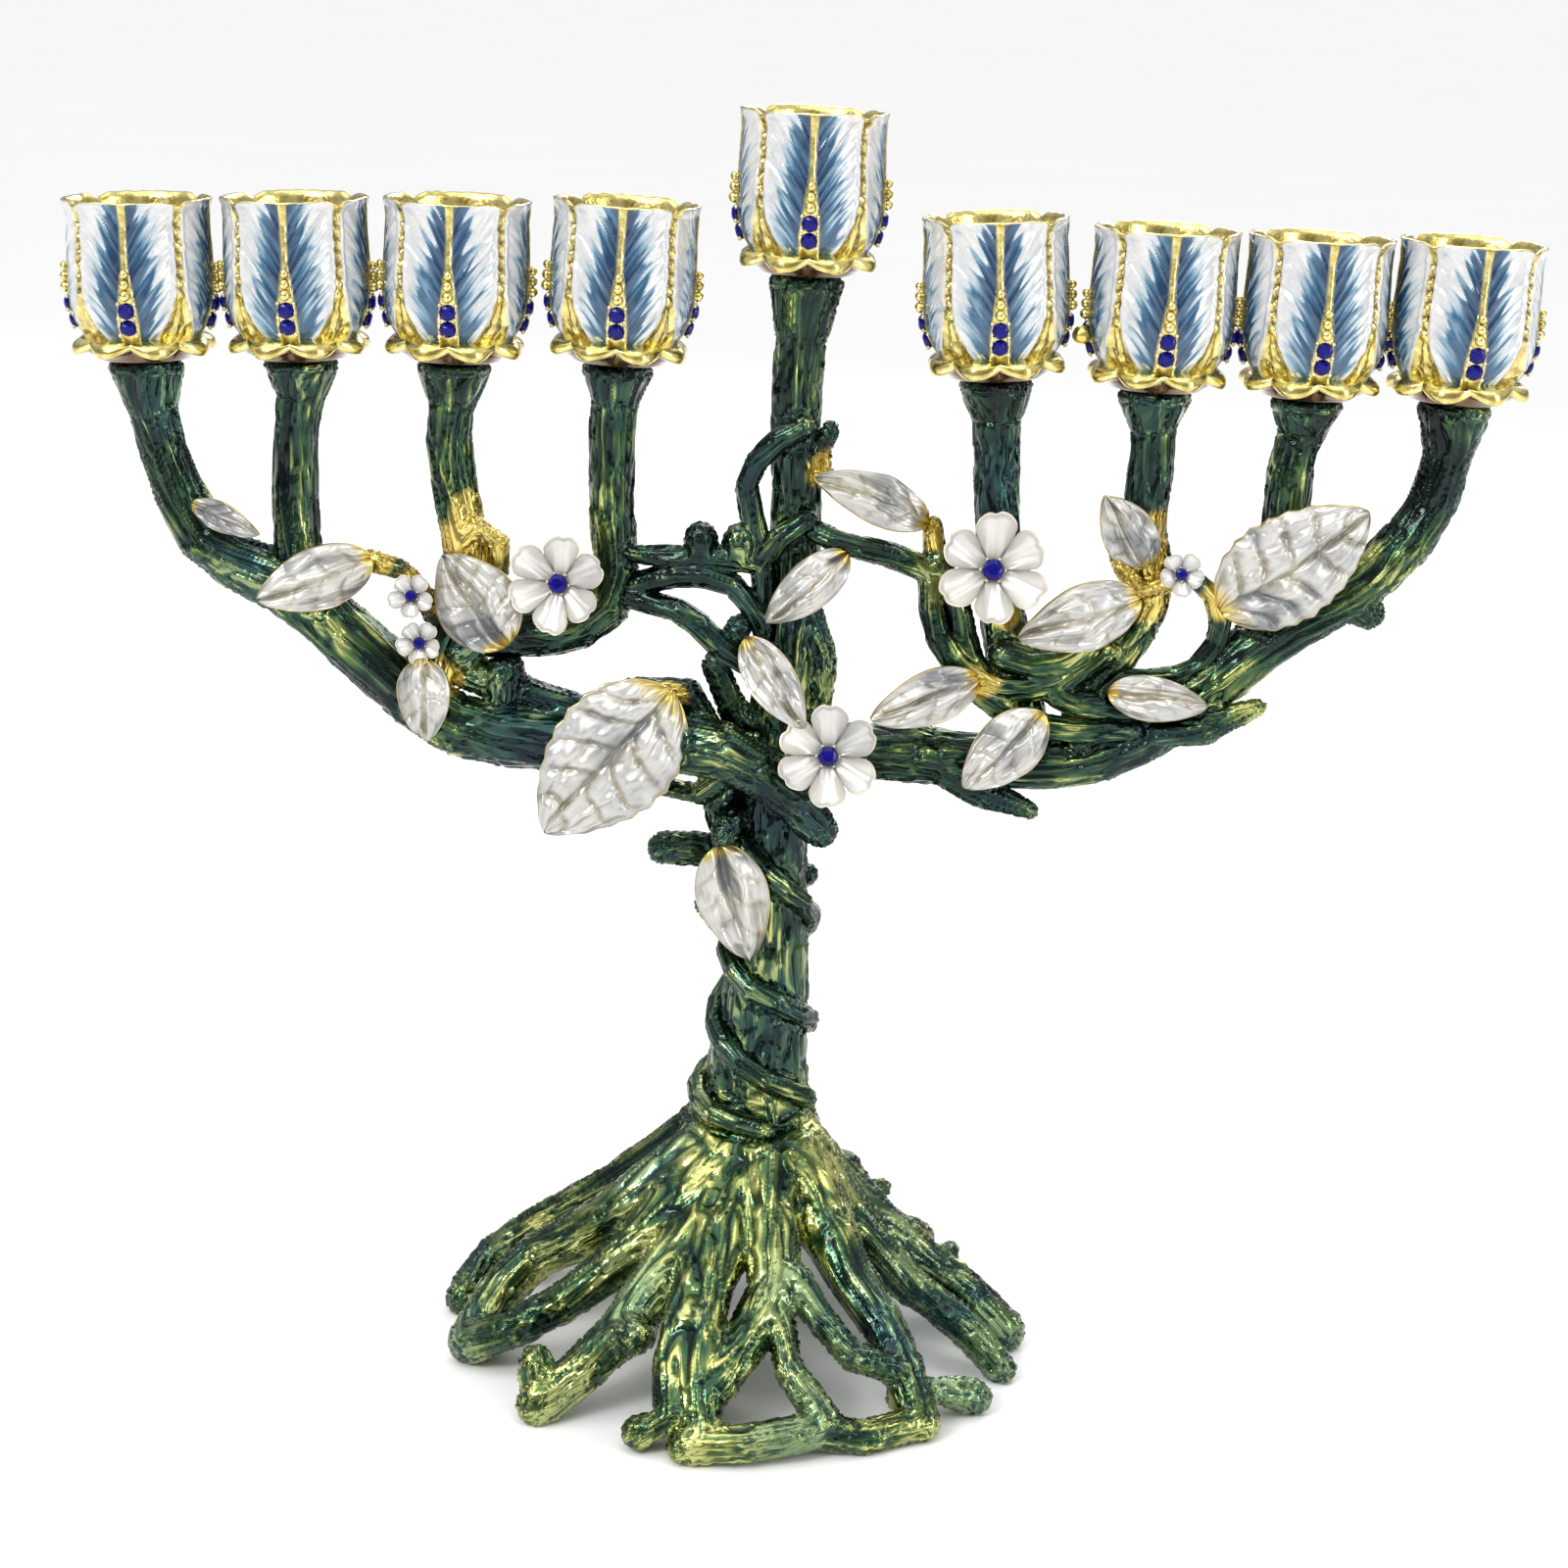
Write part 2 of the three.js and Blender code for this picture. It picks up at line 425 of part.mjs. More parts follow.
// ---------------------------------------------------------------- root base
const NECK = [[-4, 0, 46, 11], [-4.3, 0, 38, 13], [-4.8, 0, 30, 14.5]].map(drawnRoot);
const FRONT_ROOTS = [
  [[-11, 0, 38, 6], [-27, 3, 26, 3.9], [-42, 8, 15, 3.3], [-52.5, 9, 6.5, 3.4],
    [-56.5, 0, 2.6, 3.6]],
  [[-10, -6, 38, 6], [-19, -9, 31.5, 5.6], [-32, -9.5, 21.5, 4.6], [-45.5, -8, 13, 3.7],
    [-53, -19, 3.4, 4.4]],
  [[-9, -9, 36, 6], [-17, -15.5, 28.5, 5.4], [-31, -21, 17, 3.6], [-44, -24, 9, 3],
    [-53, -21, 4, 3.6]],
  [[-7, -9, 35, 6], [-12, -19, 27.5, 5.6], [-20, -29, 19, 4.4], [-30, -37.5, 9.5, 3.8],
    [-39, -41, 2.8, 3.8]],
  [[-39.8, -38.5, 7, 3], [-39.8, -38, 9.8, 2.6]],
  [[-22.9, -33.5, 13.4, 3.8], [-23, -37.5, 15, 3.2]],
  [[-9, -22, 28, 5], [-13.4, -34, 20, 3.4], [-15.8, -43, 12, 3.3], [-15.5, -52, 3, 3.4],
    [-20.8, -50.5, 3, 3]],
  [[-5, -9, 36, 6], [-7.5, -22, 27.5, 5], [-10.5, -36, 20, 3.6], [-11, -46, 11.5, 3.4],
    [-10, -53, 3, 3.3]],
  [[-1, -8, 40, 6], [-0.4, -20, 29.5, 5.4], [1.8, -29, 22.5, 4.8], [-2.7, -39, 16.5, 4],
    [-8.3, -47, 10.5, 3.2]],
  [[2, -35, 19, 2.6], [3.4, -43, 13.6, 2.3], [7.1, -47.5, 9.4, 2.5], [11.5, -49.5, 4.8, 2.8]],
  [[4.8, -31, 23, 3], [9.8, -36, 17.8, 2.4], [14.7, -39, 13, 2.3], [23, -37.5, 10, 2.6]],
  [[2, -8, 38, 6], [8.8, -15, 29.5, 5.8], [13, -23, 23, 4.2], [20, -31, 16, 3.6],
    [24, -36.5, 10, 3.4], [26.8, -42, 3, 3.4]],
  [[4, -6, 37, 6], [16, -12, 24, 4.4], [24.5, -15, 16, 3.3], [34.5, -18, 10, 3],
    [42.4, -21, 2.4, 2.8]],
  [[4, -3, 37, 6], [13, -4, 28.5, 4.6], [27, -7.4, 17.4, 4], [41, -9.5, 7.4, 3.6],
    [44, -8, 3, 3.6]],
  [[13, 4, 29, 3.6], [19, 6.5, 21.5, 2.4], [21, 7.5, 24, 1.7]],
  [[31, -7, 14, 2.6], [33.5, -2.5, 16.2, 1.7]],
  [[24, -38, 5, 2.6], [31, -36, 5.2, 2.2], [37, -33.5, 2.9, 3]],
  [[-13, -53.5, 2.6, 3], [-6, -54, 3.2, 3], [1, -53.5, 4.2, 2.9], [8, -51, 4.6, 2.9]],
  [[8, -50.5, 4.4, 2.6], [14, -49.5, 2.4, 2.8], [21, -46.5, 2.2, 2.8], [27.5, -43, 2.6, 2.8]],
].map((points) => points.map(drawnRoot));
// The back repeats the front's pattern more openly, with rails along the ground between feet.
const BACK_ROOTS = [
  [[-9, 6, 36, 6], [-20, 15, 23, 4.4], [-30, 26, 11, 3.5], [-38, 34, 2.6, 3.6]],
  [[-5, 9, 36, 6], [-9, 23, 22, 4.6], [-14, 37, 10, 3.7], [-18, 48, 2.7, 3.7]],
  [[0, 9, 36, 6], [3, 21, 24, 4.6], [10, 34, 11, 3.5], [9, 47, 2.6, 3.6]],
  [[3, 5, 33, 6], [12, 13, 21, 4.2], [21, 23, 10, 3.5], [29, 32, 2.6, 3.6]],
  [[-10, 25, 20, 2.8], [-21, 35, 10, 2.7], [-28, 43, 2, 2.9]],
  [[5, 26, 19, 2.8], [16, 35, 9, 2.7], [20, 42, 2, 2.9]],
  [[-38, 34, 2.2, 2.6], [-28, 43, 2, 2.6], [-18, 48, 2.2, 2.6]],
  [[-18, 48, 2.2, 2.6], [-4, 50, 2, 2.6], [9, 47, 2.4, 2.6]],
  [[-14, 10, 26, 3], [-33, 12, 11, 2.9], [-48, 17, 2.2, 3.2]],
  [[8, 5, 27, 3], [23, 6, 13, 2.9], [38, 6, 2.2, 3.2]],
].map((points) => points.map(drawnRoot));

// ---------------------------------------------------------------- assembly
const root = new THREE.Group();
const placed = [];

// Adds a casting, cut back by SEAM from everything placed before it.
function place(name, build, material, envelope = build) {
  const piece = placed.reduce((rest, { grown }) => rest.subtract(grown), build(0));
  placed.push({ name, grown: envelope(SEAM) });
  const mesh = piece.getMesh();
  const geometry = new THREE.BufferGeometry();
  geometry.setAttribute('position', new THREE.BufferAttribute(mesh.vertProperties, 3));
  geometry.setIndex(new THREE.BufferAttribute(mesh.triVerts, 1));
  geometry.computeVertexNormals();
  const object = new THREE.Mesh(geometry, material);
  object.name = name;
  root.add(object);
}

const block = (width, depth, height, z) =>
  solid(new THREE.BoxGeometry(width, depth, height).translate(0, 0, z + height / 2));
const below = (z) => block(400, 400, 60, z - 60);
const above = (z) => block(400, 400, 300, z);

CUPS.forEach((spec, i) => {
  place(`candle_socket_${i + 1}`, () => socket(spec), GOLD);
});
placed.length = 0;
CUPS.forEach((spec, i) => {
  place(`candle_cup_${i + 1}`, (grow) => (i === SPURRED_CUP
    ? cup(spec, grow).add(spur(spec, grow)) : cup(spec, grow)), CUP_WHITE);
});
for (const [name, spec] of Object.entries(FLOWERS)) {
  const moved = { ...spec, centre: spec.leaf
    ? drawn(LEAVES[spec.leaf][spec.end]).map((v, i) => v + spec.offset[i]) : drawn(spec.centre) };
  place(`${name}_stone`, (grow) => crystal(moved, grow), CRYSTAL);
  place(name, (grow) => flower(moved, grow), PEARL);
}
for (const [name, spec] of Object.entries(LEAVES)) {
  const moved = { ...spec, base: drawn(spec.base), tip: drawn(spec.tip) };
  place(name, (grow) => leaf(moved, grow), PEARL);
}
for (const [name, list] of Object.entries(VINES)) {
  place(name, (grow) => limbs(list, grow, 6, 5), VINE);
}
for (const [name, list] of Object.entries(STEMS)) {
  place(name, (grow) => limbs(list, grow, 8, 6), BARK);
}
place('left_bough', (grow) => limbs(LEFT_BOUGH, grow, 8, 8), BARK);
place('right_bough', (grow) => limbs(RIGHT_BOUGH, grow, 8, 8), BARK);
place('trunk', (grow) => limbs([TRUNK, ...TRUNK_STRANDS], grow, 10, 10)
  .subtract(below(TRUNK_FOOT_Z - grow)), BARK);
place('root_base', (grow) => join([limb(NECK, grow, 10, 8),
  limbs([...FRONT_ROOTS, ...BACK_ROOTS], grow, 6, 10)])
  .subtract(above(TRUNK_FOOT_Z - SEAM)).subtract(below(0)), BARK);

// The origin is under the middle of the bounding box, on the table.
const box = new THREE.Box3().setFromObject(root);
root.position.set(-(box.min.x + box.max.x) / 2, -(box.min.y + box.max.y) / 2, -box.min.z);

export default root;
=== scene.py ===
import json
import math
import bpy
import numpy as np
from mathutils import Matrix, Vector


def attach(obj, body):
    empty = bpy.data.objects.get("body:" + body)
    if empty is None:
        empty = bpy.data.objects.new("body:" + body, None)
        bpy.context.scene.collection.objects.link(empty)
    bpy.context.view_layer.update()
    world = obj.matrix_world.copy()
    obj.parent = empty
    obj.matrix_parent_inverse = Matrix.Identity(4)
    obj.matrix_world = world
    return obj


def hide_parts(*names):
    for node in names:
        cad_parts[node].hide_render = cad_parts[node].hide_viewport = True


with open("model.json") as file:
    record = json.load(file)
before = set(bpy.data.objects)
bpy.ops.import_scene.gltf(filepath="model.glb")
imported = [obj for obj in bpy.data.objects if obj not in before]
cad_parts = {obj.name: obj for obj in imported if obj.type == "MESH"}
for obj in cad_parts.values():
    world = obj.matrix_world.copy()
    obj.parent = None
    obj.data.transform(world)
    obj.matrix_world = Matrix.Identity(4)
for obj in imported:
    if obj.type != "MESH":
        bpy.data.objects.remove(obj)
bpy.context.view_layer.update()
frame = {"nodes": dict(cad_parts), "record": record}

MM = 0.001
NODES = frame["nodes"]
SEATS = {m["name"]: m for m in frame["record"]["mounts"]}
rng = np.random.default_rng(7)


# ------------------------------------------------------------------ numbers
def smooth(lo, hi, x):
    t = np.clip((np.asarray(x, float) - lo) / (hi - lo), 0, 1)
    return t * t * (3 - 2 * t)


def bump(x, centre, width):
    return np.exp(-(((x - centre) / width) ** 2))


_perm = rng.permutation(256)
_grad = rng.normal(size=(256, 3))
_grad /= np.linalg.norm(_grad, axis=1)[:, None]


def noise(p):
    """Gradient noise at points (N, 3), about -1 to 1, with features one unit wide."""
    p = np.asarray(p, float)
    cell = np.floor(p).astype(int)
    f = p - cell
    w = f * f * f * (f * (f * 6 - 15) + 10)
    total = np.zeros(len(p))
    for dx in (0, 1):
        for dy in (0, 1):
            for dz in (0, 1):
                i = _perm[(cell[:, 0] + dx) & 255]
                i = _perm[(i + cell[:, 1] + dy) & 255]
                i = _perm[(i + cell[:, 2] + dz) & 255]
                g = _grad[i]
                d = g[:, 0] * (f[:, 0] - dx) + g[:, 1] * (f[:, 1] - dy) + g[:, 2] * (f[:, 2] - dz)
                k = ((w[:, 0] if dx else 1 - w[:, 0]) * (w[:, 1] if dy else 1 - w[:, 1])
                     * (w[:, 2] if dz else 1 - w[:, 2]))
                total += k * d
    return total * 1.6


# ------------------------------------------------------------------ meshes
def new_object(name, mesh, *materials):
    obj = bpy.data.objects.new(name, mesh)
    bpy.context.scene.collection.objects.link(obj)
    for m in materials:
        if m.name not in [s.name for s in mesh.materials if s]:
            mesh.materials.append(m)
    return obj


def set_float(mesh, name, values):
    layer = mesh.attributes.new(name, "FLOAT", "POINT")
    layer.data.foreach_set("value", np.asarray(values, np.float32))


def set_vector(mesh, name, values):
    layer = mesh.attributes.new(name, "FLOAT_VECTOR", "POINT")
    layer.data.foreach_set("vector", np.asarray(values, np.float32).ravel())


def make_mesh(name, points, faces, attributes=None, flat=False):
    """Points in mm; faces as an (M, 4) or (M, 3) array, or a list of such arrays."""
    mesh = bpy.data.meshes.new(name)
    groups = faces if isinstance(faces, list) else [faces]
    groups = [np.asarray(g, np.int32) for g in groups if len(g)]
    sizes = np.concatenate([np.full(len(g), g.shape[1], np.int32) for g in groups])
    mesh.vertices.add(len(points))
    mesh.vertices.foreach_set("co", (np.asarray(points, float) * MM).astype(np.float32).ravel())
    mesh.loops.add(int(sizes.sum()))
    mesh.loops.foreach_set("vertex_index", np.concatenate([g.ravel() for g in groups]))
    mesh.polygons.add(len(sizes))
    starts = np.concatenate([[0], np.cumsum(sizes)[:-1]]).astype(np.int32)
    mesh.polygons.foreach_set("loop_start", starts)
    mesh.update(calc_edges=True)
    mesh.validate()
    mesh.polygons.foreach_set("use_smooth", np.full(len(mesh.polygons), not flat))
    for key, values in (attributes or {}).items():
        set_float(mesh, key, values)
    return mesh


def grid_faces(rows, cols, wrap=True, start=0):
    """Quads of a rows x cols grid whose columns close on themselves when wrap is true."""
    r = np.arange(rows - 1)[:, None]
    c = np.arange(cols if wrap else cols - 1)[None, :]
    n = (c + 1) % cols
    a, b = r * cols + c, r * cols + n
    return np.stack([a, b, b + cols, a + cols], -1).reshape(-1, 4) + start


class Bag:
    """Collects pieces of one mesh with their float attributes."""

    def __init__(self, *names):
        self.points, self.faces, self.count = [], {3: [], 4: []}, 0
        self.attributes = {n: [] for n in names}

    def add(self, points, faces, **values):
        points = np.asarray(points, float).reshape(-1, 3)
        faces = np.asarray(faces, int)
        self.faces[faces.shape[1]].append(faces + self.count)
        self.points.append(points)
        for n, store in self.attributes.items():
            store.append(np.broadcast_to(np.asarray(values.get(n, 0.0), float).ravel(),
                                         (len(points),)) if np.size(values.get(n, 0.0)) == 1
                         else np.asarray(values[n], float).ravel())
        self.count += len(points)

    def mesh(self, name, flat=False):
        faces = [np.concatenate(f) for f in self.faces.values() if f]
        return make_mesh(name, np.concatenate(self.points), faces,
                         {n: np.concatenate(v) for n, v in self.attributes.items()}, flat)


def ball(bag, centre, radius, squash=1.0, axis=(0, 0, 1), rows=9, cols=14, **values):
    """A closed bead, poles along the axis, squashed along it."""
    turn = Vector((0, 0, 1)).rotation_difference(Vector(axis)).to_matrix()
    a = np.linspace(0.04, math.pi - 0.04, rows)[:, None]
    b = np.linspace(0, 2 * math.pi, cols, endpoint=False)[None, :]
    p = np.stack([np.sin(a) * np.cos(b), np.sin(a) * np.sin(b), squash * np.cos(a) + 0 * b], -1)
    p = p.reshape(-1, 3) @ np.array(turn).T * radius + np.asarray(centre)
    faces = grid_faces(rows, cols)[:, ::-1]
    bag.add(p, faces, **values)
    for ring, flip in ((0, 1), (rows - 1, 0)):
        idx = np.arange(cols) + ring * cols
        hub = p[idx].mean(0)
        fan = np.stack([np.full(cols, cols), np.arange(cols), (np.arange(cols) + 1) % cols], -1)
        bag.add(np.vstack([p[idx], hub]), fan if flip else fan[:, ::-1], **values)


def gem(bag, centre, radius, axis, sides=12):
    """A faceted stone with a flat table, standing on its girdle."""
    turn = np.array(Vector((0, 0, 1)).rotation_difference(Vector(axis)).to_matrix())
    rings = [(0.92, -0.45, 0), (1.0, -0.05, 0), (0.98, 0.08, 0), (0.80, 0.34, 0.5),
             (0.52, 0.50, 0)]
    pts = []
    for r, h, shift in rings:
        a = (np.arange(sides) + shift) * 2 * math.pi / sides
        pts.append(np.stack([r * np.cos(a), r * np.sin(a), np.full(sides, h)], -1))
    p = np.concatenate(pts + [np.array([[0, 0, 0.52], [0, 0, -0.45]])])
    p = p @ turn.T * radius + np.asarray(centre)
    f = []
    for k in range(len(rings) - 1):
        for i in range(sides):
            j = (i + 1) % sides
            a, b, c, d = k * sides + i, k * sides + j, (k + 1) * sides + j, (k + 1) * sides + i
            f += [(a, b, d), (b, c, d)]
    top, bottom = len(rings) * sides, len(rings) * sides + 1
    for i in range(sides):
        j = (i + 1) % sides
        f.append(((len(rings) - 1) * sides + i, (len(rings) - 1) * sides + j, top))
        f.append((j, i, bottom))
    bag.add(p, f)


def finish_piece(obj, node=None):
    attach(obj, "root")
    if node:
        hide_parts(node)
    return obj


# ------------------------------------------------------------------ materials
def material(name):
    m = bpy.data.materials.new(name)
    m.use_nodes = True
    tree = m.node_tree
    return m, tree, tree.nodes["Principled BSDF"]


def node(tree, kind, **inputs):
    n = tree.nodes.new(kind)
    for key, value in inputs.items():
        n.inputs[key].default_value = value
    return n


def attribute(tree, name):
    n = tree.nodes.new("ShaderNodeAttribute")
    n.attribute_name = name
    return n.outputs["Fac"]


def ramp(tree, fac, stops):
    n = tree.nodes.new("ShaderNodeValToRGB")
    while len(n.color_ramp.elements) < len(stops):
        n.color_ramp.elements.new(0.5)
    for e, (pos, color) in zip(n.color_ramp.elements, stops):
        e.position = pos
        e.color = (*color, 1)
    tree.links.new(fac, n.inputs["Fac"])
    return n.outputs["Color"]


def mix(tree, fac, a, b, mode="MIX"):
    n = tree.nodes.new("ShaderNodeMix")
    n.data_type = "RGBA"
    n.blend_type = mode
    for socket, value in ((n.inputs["Factor"], fac), (n.inputs["A"], a), (n.inputs["B"], b)):
        if isinstance(value, (int, float)):
            socket.default_value = value
        elif isinstance(value, tuple):
            socket.default_value = (*value, 1)
        else:
            tree.links.new(value, socket)
    return n.outputs["Result"]


def math_node(tree, operation, a, b=0.0, clamp=False):
    n = tree.nodes.new("ShaderNodeMath")
    n.operation = operation
    n.use_clamp = clamp
    for socket, value in zip(n.inputs, (a, b)):
        if isinstance(value, (int, float)):
            socket.default_value = value
        else:
            tree.links.new(value, socket)
    return n.outputs[0]


def grain(tree, scale, detail=3.0, rough=0.55, stretch=(1, 1, 1), distortion=0.0):
    """Noise in the object's own millimetres."""
    place = tree.nodes.new("ShaderNodeTexCoord")
    mapping = node(tree, "ShaderNodeMapping")
    mapping.inputs["Scale"].default_value = tuple(1000.0 * s for s in stretch)
    tree.links.new(place.outputs["Object"], mapping.inputs["Vector"])
    n = node(tree, "ShaderNodeTexNoise", Scale=scale, Detail=detail, Roughness=rough,
             Distortion=distortion)
    tree.links.new(mapping.outputs["Vector"], n.inputs["Vector"])
    return n.outputs["Fac"]


def add_bump(tree, bsdf, height, distance, strength=1.0):
    n = node(tree, "ShaderNodeBump", Strength=strength, Distance=distance)
    tree.links.new(height, n.inputs["Height"])
    tree.links.new(n.outputs["Normal"], bsdf.inputs["Normal"])


def enamel_bark(name, patchiness):
    """Translucent green enamel over gold: thick and dark in the grooves, thin on the ridges."""
    m, tree, bsdf = material(name)
    strand = tree.nodes.new("ShaderNodeAttribute")
    strand.attribute_name = "strand"
    lines = node(tree, "ShaderNodeTexNoise", Scale=1.5, Detail=2.0, Roughness=0.5)
    tree.links.new(strand.outputs["Vector"], lines.inputs["Vector"])
    crease = math_node(tree, "MULTIPLY", math_node(tree, "ABSOLUTE", math_node(
        tree, "SUBTRACT", lines.outputs["Fac"], 0.5)), 5.0, clamp=True)
    ridge = attribute(tree, "ridge")
    patch = grain(tree, 0.07, 2.0)
    fine = grain(tree, 1.1, 4.0)
    level = math_node(tree, "ADD", math_node(tree, "MULTIPLY", ridge, 0.72),
                      math_node(tree, "MULTIPLY", crease, 0.38))
    level = math_node(tree, "ADD", level, math_node(
        tree, "MULTIPLY", math_node(tree, "SUBTRACT", patch, 0.5), patchiness))
    green = ramp(tree, level, [
        (0.0, (0.001, 0.003, 0.005)), (0.42, (0.004, 0.019, 0.014)),
        (0.62, (0.018, 0.066, 0.028)), (0.82, (0.10, 0.15, 0.036)), (1.0, (0.50, 0.52, 0.17))])
    blue = ramp(tree, level, [
        (0.0, (0.001, 0.004, 0.007)), (0.48, (0.004, 0.020, 0.027)), (0.80, (0.014, 0.062, 0.052)),
        (1.0, (0.18, 0.27, 0.12))])
    colour = mix(tree, ramp(tree, grain(tree, 0.035, 1.5), [(0.46, (0, 0, 0)), (0.62, (1, 1, 1))]),
                 green, blue)
    gold = attribute(tree, "gold")
    colour = mix(tree, gold, colour, ramp(tree, level, [
        (0.0, (0.07, 0.045, 0.006)), (0.5, (0.42, 0.30, 0.040)), (1.0, (0.84, 0.68, 0.20))]))
    tree.links.new(colour, bsdf.inputs["Base Color"])
    bsdf.inputs["Metallic"].default_value = 0.94
    rough = ramp(tree, fine, [(0.3, (0.13, 0.13, 0.13)), (0.75, (0.25, 0.25, 0.25))])
    tree.links.new(rough, bsdf.inputs["Roughness"])
    bsdf.inputs["Coat Weight"].default_value = 0.42
    bsdf.inputs["Coat Roughness"].default_value = 0.04
    bsdf.inputs["Coat IOR"].default_value = 1.5
    height = math_node(tree, "ADD", crease, math_node(tree, "MULTIPLY", fine, 0.15))
    add_bump(tree, bsdf, height, 0.00013, 0.7)
    return m


def gold_plate(name="gold_plate"):
    m, tree, bsdf = material(name)
    wear = grain(tree, 0.5, 4.0)
    colour = ramp(tree, wear, [(0.25, (0.52, 0.36, 0.055)), (0.5, (0.80, 0.62, 0.16)),
                               (0.8, (0.93, 0.78, 0.32))])
    tree.links.new(colour, bsdf.inputs["Base Color"])
    bsdf.inputs["Metallic"].default_value = 1.0
    rough = ramp(tree, wear, [(0.2, (0.16, 0.16, 0.16)), (0.8, (0.30, 0.30, 0.30))])
    tree.links.new(rough, bsdf.inputs["Roughness"])
    add_bump(tree, bsdf, grain(tree, 1.6, 3.0), 0.0001, 0.5)
    return m


def pearl_enamel(name="pearl_enamel"):
    """Pearl white over cast relief, cream in the veins and gold at the rims."""
    m, tree, bsdf = material(name)
    tone = grain(tree, 0.11, 1.5)
    fine = grain(tree, 1.4, 3.0)
    pearl = ramp(tree, tone, [(0.28, (0.56, 0.565, 0.56)), (0.48, (0.70, 0.685, 0.65)),
                              (0.72, (0.79, 0.76, 0.69))])
    vein = attribute(tree, "vein")
    vein = math_node(tree, "MULTIPLY", vein, math_node(tree, "ADD", fine, 0.45), clamp=True)
    colour = mix(tree, vein, pearl, (0.36, 0.31, 0.18))
    # painted shade: the shade attribute mixes the pearl towards blue-grey; on the leaves part of
    # it is the blade's own grey
    shade = attribute(tree, "shade")
    colour = mix(tree, shade, colour, (0.15, 0.165, 0.185))
    gold = attribute(tree, "gold")
    colour = mix(tree, gold, colour, (0.66, 0.52, 0.17))
    tree.links.new(colour, bsdf.inputs["Base Color"])
    tree.links.new(math_node(tree, "ADD", math_node(tree, "MULTIPLY", gold, 0.45), 0.55),
                   bsdf.inputs["Metallic"])
    rough = ramp(tree, fine, [(0.3, (0.34, 0.34, 0.34)), (0.8, (0.44, 0.44, 0.44))])
    tree.links.new(rough, bsdf.inputs["Roughness"])
    bsdf.inputs["Coat Weight"].default_value = 0.22
    bsdf.inputs["Coat Roughness"].default_value = 0.12
    add_bump(tree, bsdf, fine, 0.00006, 0.35)
    return m


def cup_enamel(name="cup_enamel"):
    """White petals with blue feather strokes, and gold seams, ribs and rim."""
    m, tree, bsdf = material(name)
    tone = grain(tree, 0.25, 3.0)
    fine = grain(tree, 1.6, 3.0)
    white = ramp(tree, tone, [(0.25, (0.43, 0.46, 0.50)), (0.5, (0.62, 0.62, 0.62)),
                              (0.8, (0.74, 0.72, 0.69))])
    blue = attribute(tree, "blue")
    painted = ramp(tree, math_node(tree, "ADD", blue, math_node(
        tree, "MULTIPLY", math_node(tree, "SUBTRACT", tone, 0.5), 0.35)), [
            (0.0, (0.58, 0.63, 0.66)), (0.28, (0.22, 0.35, 0.44)), (0.52, (0.034, 0.115, 0.21)),
            (1.0, (0.004, 0.030, 0.085))])
    colour = mix(tree, math_node(tree, "MULTIPLY", blue, 3.0, clamp=True), white, painted)
    gold = attribute(tree, "gold")
    plate = ramp(tree, grain(tree, 0.5, 3.0), [
        (0.25, (0.40, 0.29, 0.05)), (0.5, (0.74, 0.62, 0.20)), (0.8, (0.90, 0.82, 0.40))])
    # dark brown where the attribute asks: the seam pits and the dimpled panels, and painted shade
    # under the collar lobes
    plate = mix(tree, attribute(tree, "pit"), plate, (0.13, 0.055, 0.012))
    colour = mix(tree, gold, colour, plate)
    tree.links.new(colour, bsdf.inputs["Base Color"])
    tree.links.new(math_node(tree, "ADD", math_node(tree, "MULTIPLY", gold, 0.85), 0.15),
                   bsdf.inputs["Metallic"])
    rough = ramp(tree, fine, [(0.3, (0.18, 0.18, 0.18)), (0.8, (0.32, 0.32, 0.32))])
    tree.links.new(rough, bsdf.inputs["Roughness"])
    bsdf.inputs["Coat Weight"].default_value = 0.8
    bsdf.inputs["Coat Roughness"].default_value = 0.06
    add_bump(tree, bsdf, fine, 0.00012, 0.5)
    return m


def crystal(name="blue_crystal"):
    m, tree, bsdf = material(name)
    colour = ramp(tree, grain(tree, 1.2, 2.0), [(0.3, (0.001, 0.001, 0.07)),
                                                (0.7, (0.003, 0.002, 0.20))])
    tree.links.new(colour, bsdf.inputs["Base Color"])
    bsdf.inputs["Roughness"].default_value = 0.04
    bsdf.inputs["IOR"].default_value = 1.6
    bsdf.inputs["Specular IOR Level"].default_value = 0.2
    return m


BARK = enamel_bark("bark_enamel", 1.6)
VINE = enamel_bark("vine_enamel", 1.9)
GOLD = gold_plate()
PEARL = pearl_enamel()
CUP = cup_enamel()
CRYSTAL = crystal()


# ------------------------------------------------------------------ bark, roots and vines
# Places where the enamel was left off and the gold shows: centre in mm and radius.
BARE_GOLD = [
    ((-57.0, -1, 143), 9), ((-52.5, -2, 147), 5), ((61, -2, 144), 7), ((57, -4, 146), 5),
    ((24, -2, 152), 4), ((-21, -7, 123), 4), ((33, -8, 127), 4), ((-66, -4, 139), 3),
    ((73, -3, 142), 4), ((5, 0, 162), 3.5), ((-72, -3, 144), 3), 
    ((-61, -3, 124), 4), ((-56, -1, 152), 4), ((62, -2, 152), 5),
    ((37, -2, 137), 3), ((-84, -1, 139), 3), ((10, -4, 110), 3),
]


def vertex_normals(co, quads):
    a, b, c, d = (co[quads[:, k]] for k in range(4))
    face = np.cross(c - a, d - b)
    n = np.zeros_like(co)
    for k in range(4):
        for axis in range(3):
            n[:, axis] += np.bincount(quads[:, k], face[:, axis], len(co))
    return n / np.maximum(np.linalg.norm(n, axis=1), 1e-12)[:, None]


